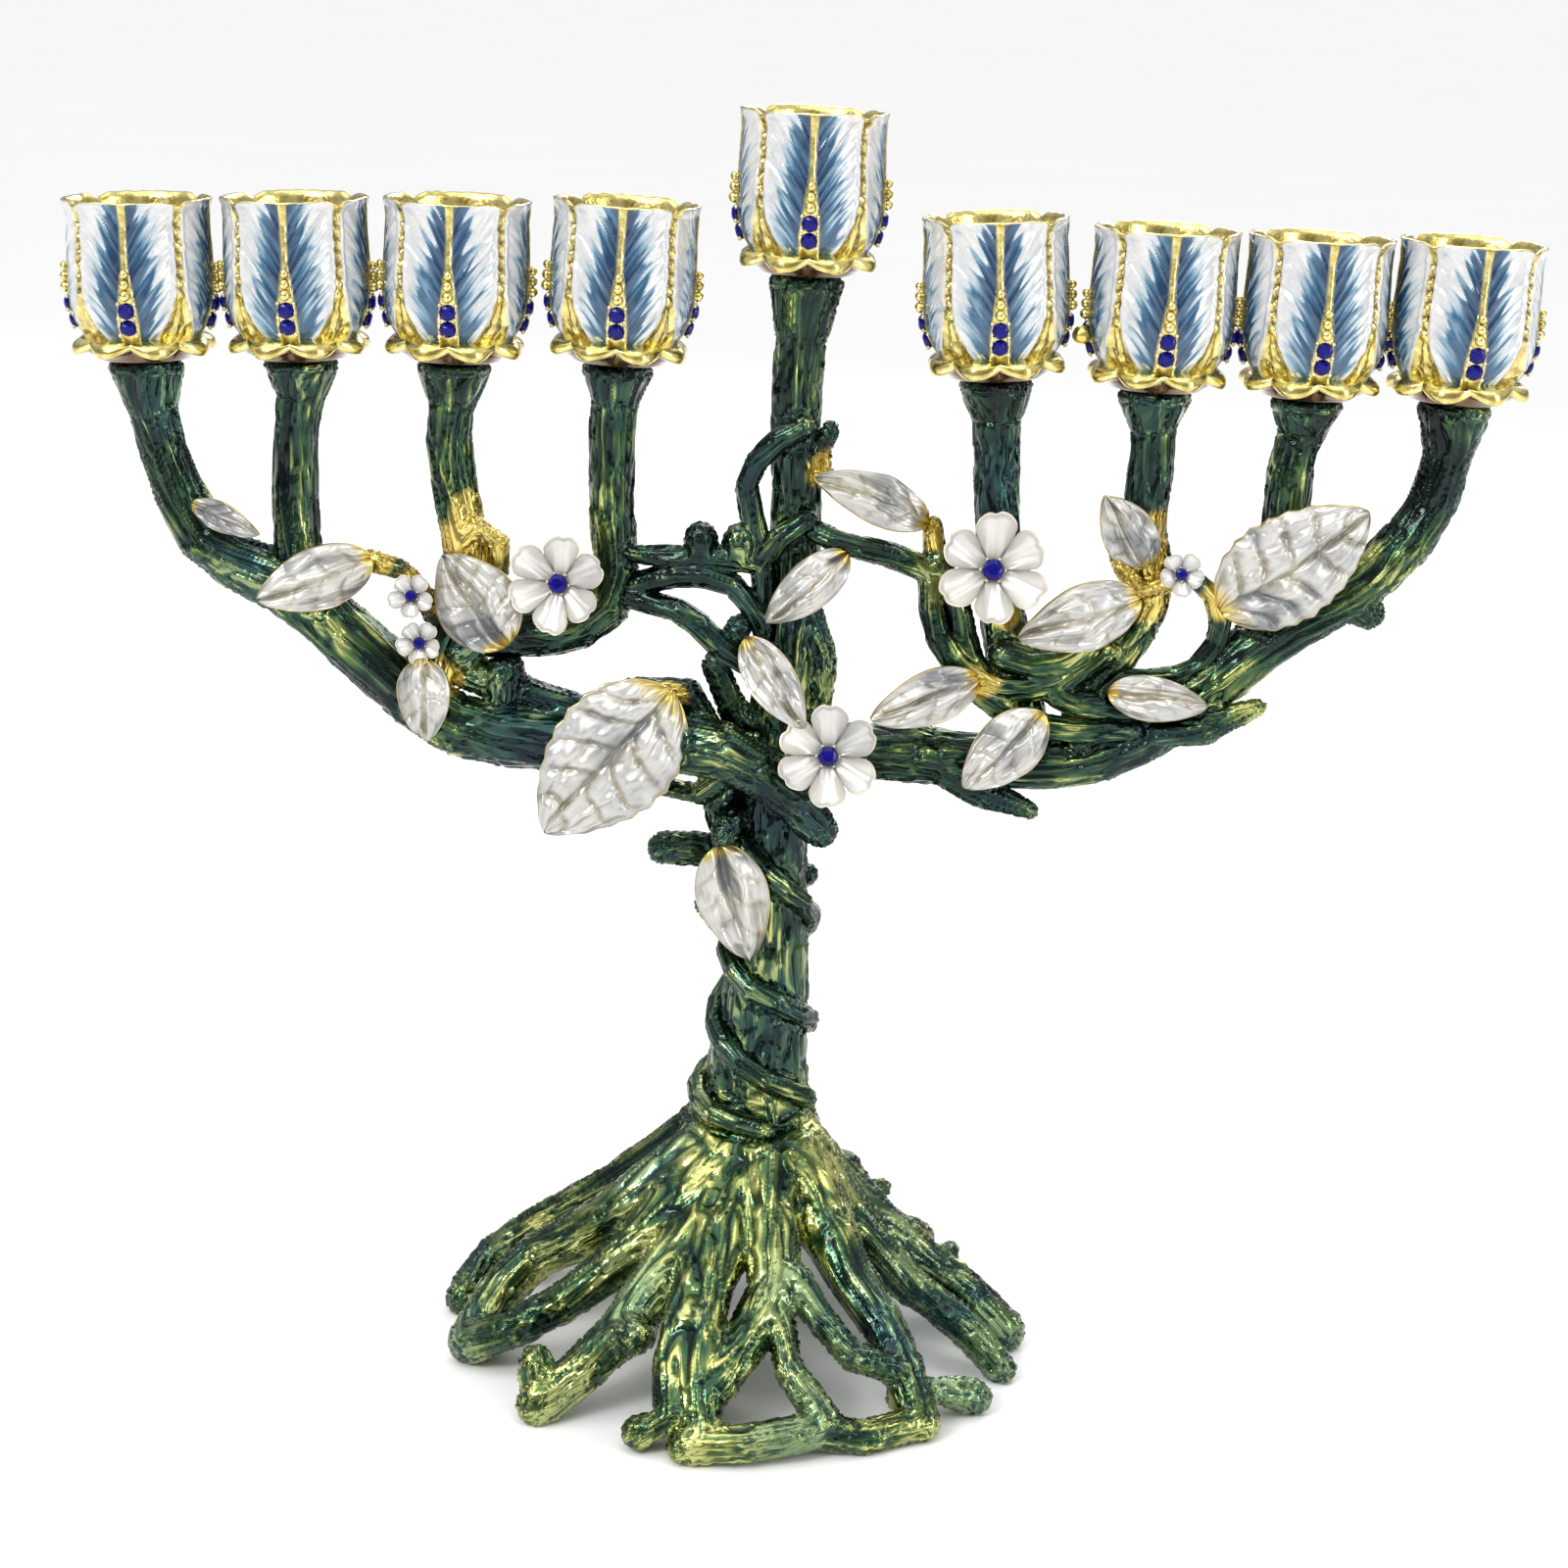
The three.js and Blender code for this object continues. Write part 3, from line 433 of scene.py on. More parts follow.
def relax(values, quads, rounds, factor=0.5):
    """Averages each vertex with its neighbours in the quads."""
    e = np.concatenate([quads[:, [0, 1]], quads[:, [1, 2]], quads[:, [2, 3]], quads[:, [3, 0]]])
    count = np.maximum(np.bincount(e[:, 0], minlength=len(values))
                       + np.bincount(e[:, 1], minlength=len(values)), 1)
    values = values.copy()
    for _ in range(rounds):
        for axis in range(values.shape[1]):
            s = (np.bincount(e[:, 0], values[e[:, 1], axis], len(values))
                 + np.bincount(e[:, 1], values[e[:, 0], axis], len(values)))
            values[:, axis] += factor * (s / count - values[:, axis])
    return values


def refine(name, voxel, strands, height, swell, mat, rounds):
    """Casts a CAD solid again as bark: rounded, and drawn into strands that run along it."""
    source = NODES[name]
    rough = bpy.data.objects.new(name + "_rough", source.data.copy())
    bpy.context.scene.collection.objects.link(rough)
    modifier = rough.modifiers.new("remesh", "REMESH")
    modifier.mode = "VOXEL"
    modifier.voxel_size = voxel * MM
    modifier.adaptivity = 0
    bpy.context.view_layer.update()
    graph = bpy.context.evaluated_depsgraph_get()
    fine = bpy.data.meshes.new_from_object(rough.evaluated_get(graph))
    bpy.data.objects.remove(rough)
    co = np.zeros(len(fine.vertices) * 3, np.float32)
    fine.vertices.foreach_get("co", co)
    co = co.reshape(-1, 3).astype(float) / MM
    loops = np.zeros(len(fine.loops), np.int32)
    fine.loops.foreach_get("vertex_index", loops)
    quads = loops.reshape(-1, 4)
    bpy.data.meshes.remove(fine)
    co = relax(co, quads, rounds)
    n = vertex_normals(co, quads)
    direction = relax(n, quads, 10)
    direction /= np.linalg.norm(direction, axis=1)[:, None]
    wander = np.stack([noise(co * 0.05 + s) for s in (3.1, 7.7, 12.3)], -1)
    seat = direction * strands + co * 0.055 + wander * 0.9
    coarse = np.clip(np.abs(noise(seat)) * 3.0, 0, 1) ** 0.65
    thin = np.clip(np.abs(noise(seat * 2.0 + 31)) * 2.6, 0, 1) ** 0.75
    swirl = noise(co * 0.16 + 5)
    ridge = 0.66 * coarse + 0.34 * thin
    lump = 0.6 * noise(co * 0.12 + 9) + 0.4 * swirl
    co = co + n * (swell + height * (ridge - 0.55) + 0.35 * height * lump)[:, None]
    co[:, 2] = np.maximum(co[:, 2], 0.0)
    tone = 0.33 * smooth(56, 34, co[:, 2]) - 0.05 - 0.06 * smooth(140, 160, co[:, 2])
    gold = np.zeros(len(co))
    for centre, radius in BARE_GOLD:
        distance = np.linalg.norm(co - np.asarray(centre), axis=1)
        gold = np.maximum(gold, smooth(1.15, 0.75, distance / radius + 0.35 * swirl))
    mesh = make_mesh(name + "_cast", co, quads, {
        "ridge": np.clip(0.86 * ridge + 0.08 + 0.3 * lump + tone, 0, 1.2), "gold": gold})
    set_vector(mesh, "strand", seat)
    obj = new_object(name + "_cast", mesh, mat)
    return finish_piece(obj, name)


SKETCH = 1.0
STEM_NODES = sorted(n for n in NODES if n.startswith("stem_"))
VINE_NODES = ("trunk_cord_a", "trunk_cord_b", "upper_vine", "right_vine", "ring_tendril")
# pieces, voxel in mm, strands about each, ridge height and swell in mm, material, smoothing rounds
CASTINGS = [
    (("root_base",), 0.6, 2.8, 1.15, 0.42, BARK, 10),
    (("trunk",), 0.42, 3.9, 1.2, 0.42, BARK, 12),
    (("left_bough", "right_bough"), 0.38, 3.0, 1.05, 0.36, BARK, 12),
    (STEM_NODES, 0.36, 2.6, 0.9, 0.32, BARK, 12),
    (VINE_NODES, 0.3, 1.7, 0.55, 0.28, VINE, 8),
]
for pieces, voxel, *cast in CASTINGS:
    for piece in pieces:
        refine(piece, voxel * SKETCH, *cast)


# ------------------------------------------------------------------ leaves
def node_points(name):
    me = NODES[name].data
    co = np.zeros(len(me.vertices) * 3, np.float32)
    me.vertices.foreach_get("co", co)
    return np.unique(np.round(co.reshape(-1, 3).astype(float) / MM, 3), axis=0)


def leaf_frame(name):
    """Base, tip, side and face directions, half width and the bow of a CAD leaf."""
    p = node_points(name)
    centre = p.mean(0)
    _, axes = np.linalg.eigh(np.cov((p - centre).T))
    along, side, face = axes[:, 2], axes[:, 1], axes[:, 0]
    t = (p - centre) @ along
    s = (p - centre) @ side
    widest = t[np.argsort(-np.abs(s))[:4]].mean()
    if widest > 0.5 * (t.max() + t.min()):
        along, t = -along, -t
    if face[1] > 0:
        face = -face
    side = np.cross(face, along)
    base = p[t < t.min() + 0.6].mean(0)
    tip = p[t > t.max() - 0.6].mean(0)
    along = (tip - base) / np.linalg.norm(tip - base)
    face = face - along * (face @ along)
    face /= np.linalg.norm(face)
    side = np.cross(face, along)
    u = (p - base) @ along / np.linalg.norm(tip - base)
    v = (p - base) @ side
    half = np.abs(v).max()
    basis = np.stack([np.sin(np.pi * np.clip(u, 0, 1)),
                      (v / half) ** 2 * np.sin(np.pi * np.clip(u, 0, 1))], -1)
    fit, *_ = np.linalg.lstsq(basis, (p - base) @ face, rcond=None)
    return base, tip, side, face, half, fit


def leaf(name, teeth, seed, curl=0.0):
    base, tip, side, face, half, (arch, dish) = leaf_frame(name)
    length = np.linalg.norm(tip - base)
    along = (tip - base) / length
    rows, cols = 90, 61
    u = np.linspace(0, 1, rows)[:, None]
    v = np.linspace(-1, 1, cols)[None, :]
    outline = np.sin(np.pi * np.clip(u, 0, 1) ** 0.80) ** 0.66
    stalk = 0.10 + 0 * u
    outline = np.maximum(outline, stalk * (1 - u))
    tooth = 0.055 * np.abs(((u * teeth + 0.25) % 1.0) - 0.5) * 2 if teeth else 0 * u
    width = half * 1.03 * (outline * (1 + tooth - 0.03))
    offset = np.array([seed * 3.7, seed * 1.3, 0.0])
    uu = np.broadcast_to(u, (rows, cols))
    vv = np.broadcast_to(v, (rows, cols))
    av = np.abs(vv)
    # side veins leave the midrib forwards and curve with the edge; folds run along the blade
    big = smooth(6.5, 9.0, half)
    pairs = 4.3 if half > 7 else 3.2
    bend = noise(np.stack([uu * 3.0 + seed, vv * 1.6, 0 * uu + 2.2 * seed], -1).reshape(-1, 3))
    bend = bend.reshape(rows, cols)
    sweep = (uu * pairs * 1.3 - (av * 1.15 - 0.35 * av ** 2) * (1.1 - 0.3 * uu)
             + 0.34 * np.sign(vv) + 0.30 * bend)
    phase = sweep - np.floor(sweep)
    fade = smooth(0.03, 0.16, uu) * smooth(1.0, 0.86, uu)
    side_vein = np.maximum(bump(phase, 0.0, 0.11), bump(phase, 1.0, 0.11)) * fade
    side_vein = side_vein * smooth(1.05, 0.6, av) * (0.45 + 0.55 * big)
    sway = vv * width + 0.5 * np.sin(3.2 * uu + seed)
    midrib = bump(sway, 0.0, 0.40 + 0.35 * (1 - uu)) * smooth(1.0, 0.85, uu)
    quilt = np.sin(np.pi * phase) ** 0.8 * smooth(0.02, 0.35, av) * smooth(1.05, 0.8, av) * fade
    quilt = quilt * (0.25 + 0.75 * big)
    lines = np.stack([uu * 1.5 + seed, vv * (1.9 + 0.9 * big) * (1 + 0.4 * np.sin(np.pi * uu))
                      + 0.5 * bend, 0 * uu + seed * 1.9], -1).reshape(-1, 3)
    fold = noise(lines).reshape(rows, cols) * (1 - 0.45 * big)
    crease = np.abs(noise(lines * np.array([1.3, 2.1, 1.0]) + 17)).reshape(rows, cols)
    flat = np.stack([uu * length * 0.26, vv * width * 0.26, 0 * uu], -1).reshape(-1, 3) + offset
    crumple = noise(flat).reshape(rows, cols)
    ripple = noise(flat * 2.9).reshape(rows, cols)
    scale = min(1.0, half / 7.0) ** 0.5
    relief = (0.85 * quilt - 0.65 * midrib - 0.35 * side_vein + 0.70 * crumple + 0.06 * ripple
              + 1.50 * fold + 0.30 * np.clip(crease, 0, 0.5))
    relief = relief * scale
    rim = smooth(0.90, 0.985, av) * smooth(0.0, 0.05, uu)
    wave = curl * av ** 2 * np.sin(2 * np.pi * (1.5 * uu + 0.13 * seed)) * np.sign(vv + 1e-9)
    lift = (arch * np.sin(np.pi * uu) + dish * vv ** 2 * np.sin(np.pi * uu)
            + relief + 0.22 * rim + 0.5 * scale * wave)
    mid = (base + along * (uu * length)[..., None] + side * (vv * width)[..., None])
    thick = 1.15 * (1 - 0.45 * av)
    front = mid + face * (lift + 0.5 * thick)[..., None]
    back = mid + face * (lift - 0.5 * relief - 0.5 * thick)[..., None]
    bag = Bag("vein", "gold", "shade")
    # tone: random patches, raised where the relief sinks, so the hollows carry painted shade
    tone = smooth(-0.2, 0.5, noise(flat * 0.45 + 3).reshape(rows, cols) - 0.4 * relief)
    vein = np.clip(0.7 * side_vein + 0.6 * midrib + 0.5 * rim + 0.45 * smooth(0.1, -0.6, relief)
                   + 0.35 * smooth(0.16, 0.0, crease), 0, 1)
    gold = np.clip(smooth(0.13, 0.02, uu + 0.06 * ripple) + 0.75 * smooth(0.965, 1.0, av), 0, 1)
    # shade: an even grey over the whole blade, plus the tone, stronger towards the base; the part
    # that follows the hollows is painted shade
    shade = np.clip(0.27 + 0.62 * tone * smooth(1.1, 0.15, uu), 0, 0.85)
    faces = grid_faces(rows, cols, wrap=False)
    n = rows * cols
    edge = np.concatenate([
        np.arange(cols), np.arange(1, rows) * cols + cols - 1,
        (rows - 1) * cols + np.arange(cols - 2, -1, -1), np.arange(rows - 2, 0, -1) * cols])
    nxt = np.roll(edge, -1)
    walls = np.stack([edge, nxt, nxt + n, edge + n], -1)
    points = np.concatenate([front.reshape(-1, 3), back.reshape(-1, 3)])
    quads = np.concatenate([faces, faces[:, ::-1] + n, walls[:, ::-1]])
    a = points[quads[:, 0]]
    volume = np.einsum("ij,ij->i", a, np.cross(points[quads[:, 1]], points[quads[:, 2]])).sum()
    volume += np.einsum("ij,ij->i", a, np.cross(points[quads[:, 2]], points[quads[:, 3]])).sum()
    if volume < 0:
        quads = quads[:, ::-1]
    double = lambda x: np.concatenate([x.ravel(), x.ravel()])
    back_gold = np.concatenate([gold.ravel(), np.clip(gold + 0.35, 0, 1).ravel()])
    bag.add(points, quads, vein=double(vein), gold=back_gold, shade=double(shade))
    obj = new_object(name + "_blade", bag.mesh(name + "_blade"), PEARL)
    return finish_piece(obj, name)


LARGE = {"leaf_left_5", "leaf_right_5"}
for k, piece in enumerate(sorted(n for n in NODES if n.startswith("leaf_"))):
    leaf(piece, 9 if piece in LARGE else 0, k + 1, 0.8 if piece not in LARGE else 0.5)


# ------------------------------------------------------------------ flowers
STONE_SEAT = 1.9   # mm from the back of a flower to the foot of its stone


def flower(name, petals, seed):
    face = np.array([-0.1, -0.97, 0.2] if name == "flower_1" else [0, -0.96, 0.26])
    face /= np.linalg.norm(face)
    setting = node_points(name + "_stone")
    middle = 0.5 * (setting.min(0) + setting.max(0))
    origin = middle + face * ((setting @ face).min() - STONE_SEAT - middle @ face)
    p = node_points(name) - origin
    flat = p - np.outer(p @ face, face)
    reach = np.linalg.norm(flat, axis=1)
    radius = reach.max()
    x_axis = flat[np.argmax(reach)] / radius
    y_axis = np.cross(face, x_axis)
    rows, cols = 44, 30 * petals
    rho = np.linspace(0.02, 1, rows)[:, None]
    a = np.linspace(0, 2 * np.pi, cols, endpoint=False)[None, :]
    local = np.abs(np.cos(petals * a / 2))
    turn = (a * petals / (2 * np.pi) + 0.5) % 1.0 - 0.5
    notch = 0.05 * np.exp(-((turn / 0.07) ** 2))
    wobble = 0.03 * np.sin(3 * a + seed) + 0.02 * np.sin(5 * a + 2 * seed)
    outline = radius * (0.60 + 0.40 * local ** 0.42 - notch + wobble)
    r = outline * rho
    cleft = np.exp(-(((0.5 - np.abs(turn)) / 0.045) ** 2)) * smooth(0.18, 0.45, rho)
    bowl = 0.34 * radius * rho ** 2 * (0.75 + 0.25 * local)
    cupped = 0.21 * radius * (np.abs(turn) * 2) ** 2 * smooth(0.3, 0.9, rho)
    radial = (0.007 * radius * np.sin(turn * 21 + 0.8 * np.sin(3 * a + seed))
              * smooth(0.15, 0.5, rho) * smooth(1.0, 0.6, rho))
    rim = smooth(0.90, 0.975, rho) + 0 * a
    h = 1.1 + bowl + cupped + radial * 0.55 - 0.08 * radius * cleft + 0.04 * radius * rim
    h = h + 0.05 * radius * np.sin(2 * a + seed) * rho ** 2
    under = h - (0.75 - 0.25 * rho) - 0.3 * smooth(0.4, 0.1, rho)
    cosa, sina = np.cos(a), np.sin(a)

    def place(radius_grid, height_grid):
        return (origin + x_axis * (radius_grid * cosa)[..., None]
                + y_axis * (radius_grid * sina)[..., None] + face * height_grid[..., None])

    grid = np.concatenate([place(r, h), place(r[::-1] * 0.995, under[::-1])])
    total = grid.shape[0]
    double = lambda x: np.concatenate([x, x[::-1]])
    ones = np.ones((rows, cols))
    vein = np.clip(0.55 * cleft + 0.5 * smooth(0.45, 0.12, rho) * ones
                   + 0.10 * smooth(0.0, -0.02 * radius, radial), 0, 1)
    gold = np.clip(0.7 * smooth(0.975, 1.0, rho) * ones + smooth(0.20, 0.15, rho) * ones, 0, 1)
    # painted shade: grey that deepens towards the hollow middle of the bloom and towards the
    # clefts between the petals
    shade = (0.30 * smooth(0.7, 0.2, rho) + 0.30 * smooth(0.25, 0.5, np.abs(turn))) * ones
    bag = Bag("vein", "gold", "shade")
    gold_all = np.concatenate([gold, np.clip(gold[::-1] + 0.5, 0, 1)])
    bag.add(grid.reshape(-1, 3), grid_faces(total, cols), vein=double(vein), gold=gold_all,
            shade=double(shade))
    # claws that hold the stone
    size = 0.195 * radius if radius > 6 else 0.27 * radius
    top = origin + face * 1.5
    for k in range(6):
        b = 2 * np.pi * (k + 0.5) / 6
        spot = top + (x_axis * math.cos(b) + y_axis * math.sin(b)) * size * 1.10 + face * 0.2
        ball(bag, spot, 0.17 * size, gold=0.6)
    obj = new_object(name + "_bloom", bag.mesh(name + "_bloom"), PEARL)
    finish_piece(obj, name)
    stones = Bag()
    gem(stones, origin + face * (1.45 + 0.45 * size), size, face)
    jewel = new_object(name + "_gem", stones.mesh(name + "_gem", flat=True), CRYSTAL)
    finish_piece(jewel, name + "_stone")


for k in range(1, 7):
    flower(f"flower_{k}", 6 if k <= 3 else 5, k)


# ------------------------------------------------------------------ cups
def profile(z, table):
    zs, rs = zip(*table)
    return np.interp(z, zs, rs)


OUTER = [(-22.6, 9.2), (-21.5, 9.9), (-20.5, 10.6), (-19, 11.25), (-17, 11.8), (-14.5, 12.1),
         (-11, 12.1), (-7, 11.9), (-3, 11.75), (-1.2, 11.9), (-0.3, 12.25), (0.3, 12.35)]
WIDTH = [(0, 5.0), (1.5, 5.9), (3.5, 7.0), (6, 8.1), (9, 8.8), (13, 8.95), (22.5, 8.85)]
RIB = [(0, 1.95), (4, 1.8), (8, 1.2), (11.5, 0.75), (13, 0.42), (18, 0.42), (22.5, 0.6)]
CUP_COLS = 288
CUP_ROWS = 96
PETAL_FOOT, PETAL_TOP = -22.6, 0.3   # mm from the rim
SEAM_AT = 9.42                       # mm round the wall from a petal's rib to the seam beside it


def cup_mesh(seed):
    bag = Bag("gold", "blue", "pit")
    cols = CUP_COLS
    a = np.linspace(0, 2 * np.pi, cols, endpoint=False)[None, :]
    petal = (a + np.pi / 4) % (np.pi / 2) - np.pi / 4
    au = np.abs(petal) * 12.0
    which = np.floor((a + np.pi / 4) / (np.pi / 2))
    z = np.linspace(PETAL_FOOT, PETAL_TOP, CUP_ROWS)[:, None]
    h = z - PETAL_FOOT
    ones = np.ones((CUP_ROWS, cols))
    w = profile(h, WIDTH)
    rib = profile(h, RIB)
    edge = au - w
    flat = np.stack([np.cos(a) * 6 * ones, np.sin(a) * 6 * ones, z * 0.5 * ones], -1)
    wobble = noise(flat.reshape(-1, 3) + seed).reshape(CUP_ROWS, cols)
    jitter = noise(flat.reshape(-1, 3) * 2.3 + 40 + seed).reshape(CUP_ROWS, cols)
    # feather strokes climb outwards from the rib
    side = np.sign(petal)
    stroke = np.stack([(h - 1.9 * au + 0.075 * au ** 2) * 0.62 * ones, au * 0.12 + 0 * h,
                       (which * 5.3 + side * 2.1 + seed) * ones], -1).reshape(-1, 3)
    s1 = noise(stroke).reshape(CUP_ROWS, cols)
    s2 = noise(stroke * np.array([2.3, 1.4, 1.0]) + 11).reshape(CUP_ROWS, cols)
    reach = au / np.maximum(w, 1)
    tip = profile(h, [(0, 0.72), (4, 0.84), (9, 0.76), (15, 0.60), (20, 0.50), (22.6, 0.40)])
    body = smooth(0.14, -0.12, reach - tip + 0.55 * s1 + 0.22 * s2)
    depth = np.clip(0.60 + 0.70 * s1 + 0.40 * s2 - 0.32 * reach, 0.10, 1)
    depth = np.clip(depth + 0.35 * smooth(0.42, 0.10, reach + 0.25 * s1)
                    + 0.15 * smooth(8, 2, h), 0, 1)
    blue = body * depth * smooth(0.0, -0.5, edge + 0.35) * 1.12
    # relief
    seam = smooth(-0.15, 0.25, edge)
    border = bump(edge, -0.55, 0.42)
    beads = 0.5 + 0.5 * np.sin(h * 2 * np.pi / 2.15 + which * 0.9 + 1.2 * wobble)
    in_rib = smooth(rib + 0.22, rib - 0.12, au)
    panel = smooth(0.15, 0.9, edge) * smooth(9.5, 6.5, h)
    feather = 0.26 * np.clip(s1, -0.8, 0.8) + 0.14 * s2
    relief = (-0.22 * (au / 9.4) ** 2 + 0.30 * border - 0.55 * seam * smooth(9, 12, h)
              + 0.62 * seam * beads * bump(au, SEAM_AT, 0.6) * smooth(6.5, 9.5, h)
              + 0.42 * bump(au, SEAM_AT, 0.45) * smooth(9.5, 7, h) - 0.45 * panel
              + 0.20 * panel * jitter + feather * (1 - seam) * (1 - in_rib)
              + 0.42 * in_rib + 0.08 * wobble)
    near_rim = smooth(-1.6, -0.2, z)
    relief = relief * (1 - 0.8 * near_rim) + 0.18 * near_rim * np.sin(8 * a + 1.1 * wobble)
    r = profile(z, OUTER) + relief
    lip = 0.55 - 0.75 * bump(au[:1], SEAM_AT, 1.3) + 0.16 * wobble[-1:, :]
    zz = z + lip * smooth(-7, 0.3, z)
    band = smooth(-0.05, 0.12, z - 0.28 + 0.9 * bump(au, SEAM_AT, 0.8)
                  + 0.5 * bump(au, 0, 0.8) + 0.15 * wobble)
    gold = np.clip(np.maximum.reduce([smooth(-0.30, -0.05, edge + 0.12 * wobble) * ones,
                                      in_rib * ones, band]), 0, 1)
    pit = (seam * (1 - beads) ** 0.8 * bump(au, SEAM_AT, 0.75) * smooth(7.5, 10, h)
           * smooth(22.3, 21, h))
    pit = np.clip(pit + 0.45 * panel * smooth(0.0, -0.5, jitter), 0, 1)
    outer = np.stack([r * np.cos(a), r * np.sin(a), zz * ones], -1)
    rows = [outer]
    lines = [(12.2, 0.45), (11.95, 0.52), (11.6, 0.42), (11.3, 0.15), (11.1, -0.5), (10.9, -2),
             (10.5, -6), (9.9, -11), (9.3, -15), (8.4, -17.8), (7.0, -18.7), (4.0, -19.2),
             (0.4, -19.4)]
    for radius, height in lines:
        up = smooth(-7, 0.3, height)
        swing = 1 + 0.006 * np.sin(8 * a) * up
        rows.append(np.stack([radius * swing * np.cos(a), radius * swing * np.sin(a),
                              height + lip * up], -1))
    grid = np.concatenate(rows)
    extra = np.ones((len(lines), cols))
    bag.add(grid.reshape(-1, 3), grid_faces(len(grid), cols),
            gold=np.concatenate([gold, extra]), blue=np.concatenate([blue, 0 * extra]),
            pit=np.concatenate([pit, 0.0 * extra]))
    # collar of eight folded lobes
    saw = np.abs(((a * 8 / (2 * np.pi)) % 1.0) - 0.5) * 2
    lobe = 1 - saw ** 1.6
    bend = noise(np.stack([np.cos(a[0]) * 2.5, np.sin(a[0]) * 2.5, 0 * a[0] + seed], -1))[None, :]
    path = [
        (9.3 + 0 * lobe, -21.2 + 0 * lobe), (9.9 + 0 * lobe, -21.75 + 0 * lobe),
        (10.4 + 0.7 * lobe, -22.2 - 0.1 * lobe), (10.7 + 1.3 * lobe, -22.6 - 0.5 * lobe),
        (10.6 + 1.7 * lobe, -23.0 - 1.25 * lobe + 0.4 * bend),
        (10.3 + 1.6 * lobe, -23.4 - 1.7 * lobe + 0.4 * bend),
        (9.9 + 1.0 * lobe, -23.5 - 1.3 * lobe), (9.3 + 0.6 * lobe, -23.9 - 0.6 * lobe),
        (8.4 + 0.1 * lobe, -25.2 + 0 * lobe), (7.6 + 0 * lobe, -26.1 + 0 * lobe),
        (0.3 + 0 * lobe, -26.1 + 0 * lobe)]
    key = np.linspace(0, 1, len(path))
    fine = np.linspace(0, 1, 44)
    pr = np.stack([p[0][0] for p in path])
    pz = np.stack([p[1][0] for p in path])
    rr = np.stack([np.interp(fine, key, pr[:, i]) for i in range(cols)], -1)
    hh = np.stack([np.interp(fine, key, pz[:, i]) for i in range(cols)], -1)
    for _ in range(2):
        rr[1:-1] = 0.25 * rr[:-2] + 0.5 * rr[1:-1] + 0.25 * rr[2:]
        hh[1:-1] = 0.25 * hh[:-2] + 0.5 * hh[1:-1] + 0.25 * hh[2:]
    fold = 0.16 * np.exp(-(((np.abs((a * 8 / (2 * np.pi)) % 1 - 0.5)) / 0.10) ** 2))
    hh = hh + fold * bump(np.linspace(0, 1, 44), 0.3, 0.16)[:, None]
    collar = np.stack([rr * np.cos(a), rr * np.sin(a), hh], -1)
    # the collar's lower side and underside take the dark brown as painted shade
    bag.add(collar.reshape(-1, 3), grid_faces(44, cols)[:, ::-1], gold=1.0,
            pit=(smooth(0.46, 0.62, np.linspace(0, 1, 44))[:, None] + 0 * a).ravel())
    # beads and claws on each rib
    stones = Bag()
    for k in range(4):
        t = k * np.pi / 2
        out = np.array([math.cos(t), math.sin(t), 0])
        across = np.array([-math.sin(t), math.cos(t), 0])
        up = np.array([0, 0, 1.0])
        for height, size in ((-10.5, 0.72), (-12.2, 0.80), (-14.0, 0.86)):
            reach_out = float(profile(height, OUTER)) + 0.85
            ball(bag, out * reach_out + up * height, 1.12 * size, 0.9, out, gold=1.0)
        for height, size in ((-16.6, 1.42), (-19.5, 1.45)):
            slope = -0.28 if height < -18 else -0.05
            normal = out + up * slope
            normal = normal / np.linalg.norm(normal)
            reach_out = float(profile(height, OUTER)) + 0.62
            gem(stones, out * reach_out + up * height, size, normal)
            for dz in (-1.15, 1.15):
                for s in (-1, 1):
                    spot = out * (reach_out - 0.05) + up * (height + dz) + across * s * 1.32
                    ball(bag, spot, 0.40, 0.9, out, 7, 10, gold=0.65)
    return bag.mesh(f"cup_{seed}"), stones.mesh(f"cup_stones_{seed}", flat=True)


def socket_mesh():
    bag = Bag()
    table = [(0.4, -17.7), (6.0, -17.7), (6.35, -17.4), (6.4, -16.9), (6.4, -8.0), (6.6, -7.6),
             (6.55, -7.1), (6.2, -6.75), (5.7, -6.7), (5.35, -6.95), (5.2, -7.5), (5.2, -16.4),
             (5.0, -16.7), (0.4, -16.7)]
    a = np.linspace(0, 2 * np.pi, 72, endpoint=False)
    grid = np.stack([np.stack([r * np.cos(a), r * np.sin(a), np.full_like(a, h)], -1)
                     for r, h in table])
    bag.add(grid.reshape(-1, 3), grid_faces(len(table), 72))
    mesh = bag.mesh("socket")
    return mesh


SEAT_TO_RIM = 16.7
cup_shapes = [cup_mesh(s) for s in range(3)]
socket_shape = socket_mesh()
for number in range(1, 10):
    seat = SEATS[f"candle_seat_{number}"]
    up = Vector(seat["axis"]).normalized()
    side = Vector((0, 1, 0)).cross(up).normalized()
    origin = Vector(seat["pos_m"]) + up * SEAT_TO_RIM * MM
    place = Matrix.Translation(origin) @ Matrix((side, up.cross(side), up)).transposed().to_4x4()
    body, stones = cup_shapes[number % 3]
    parts = ((f"cup_{number}_petals", body, CUP, f"candle_cup_{number}", "cup_enamel"),
             (f"cup_{number}_stones", stones, CRYSTAL, None, "blue_crystal"),
             (f"cup_{number}_socket", socket_shape, GOLD, f"candle_socket_{number}", "gold_plate"))
    for label, shape, mat, cad, slot_name in parts:
        obj = new_object(label, shape, mat)
        obj.matrix_world = place
        finish_piece(obj, cad)

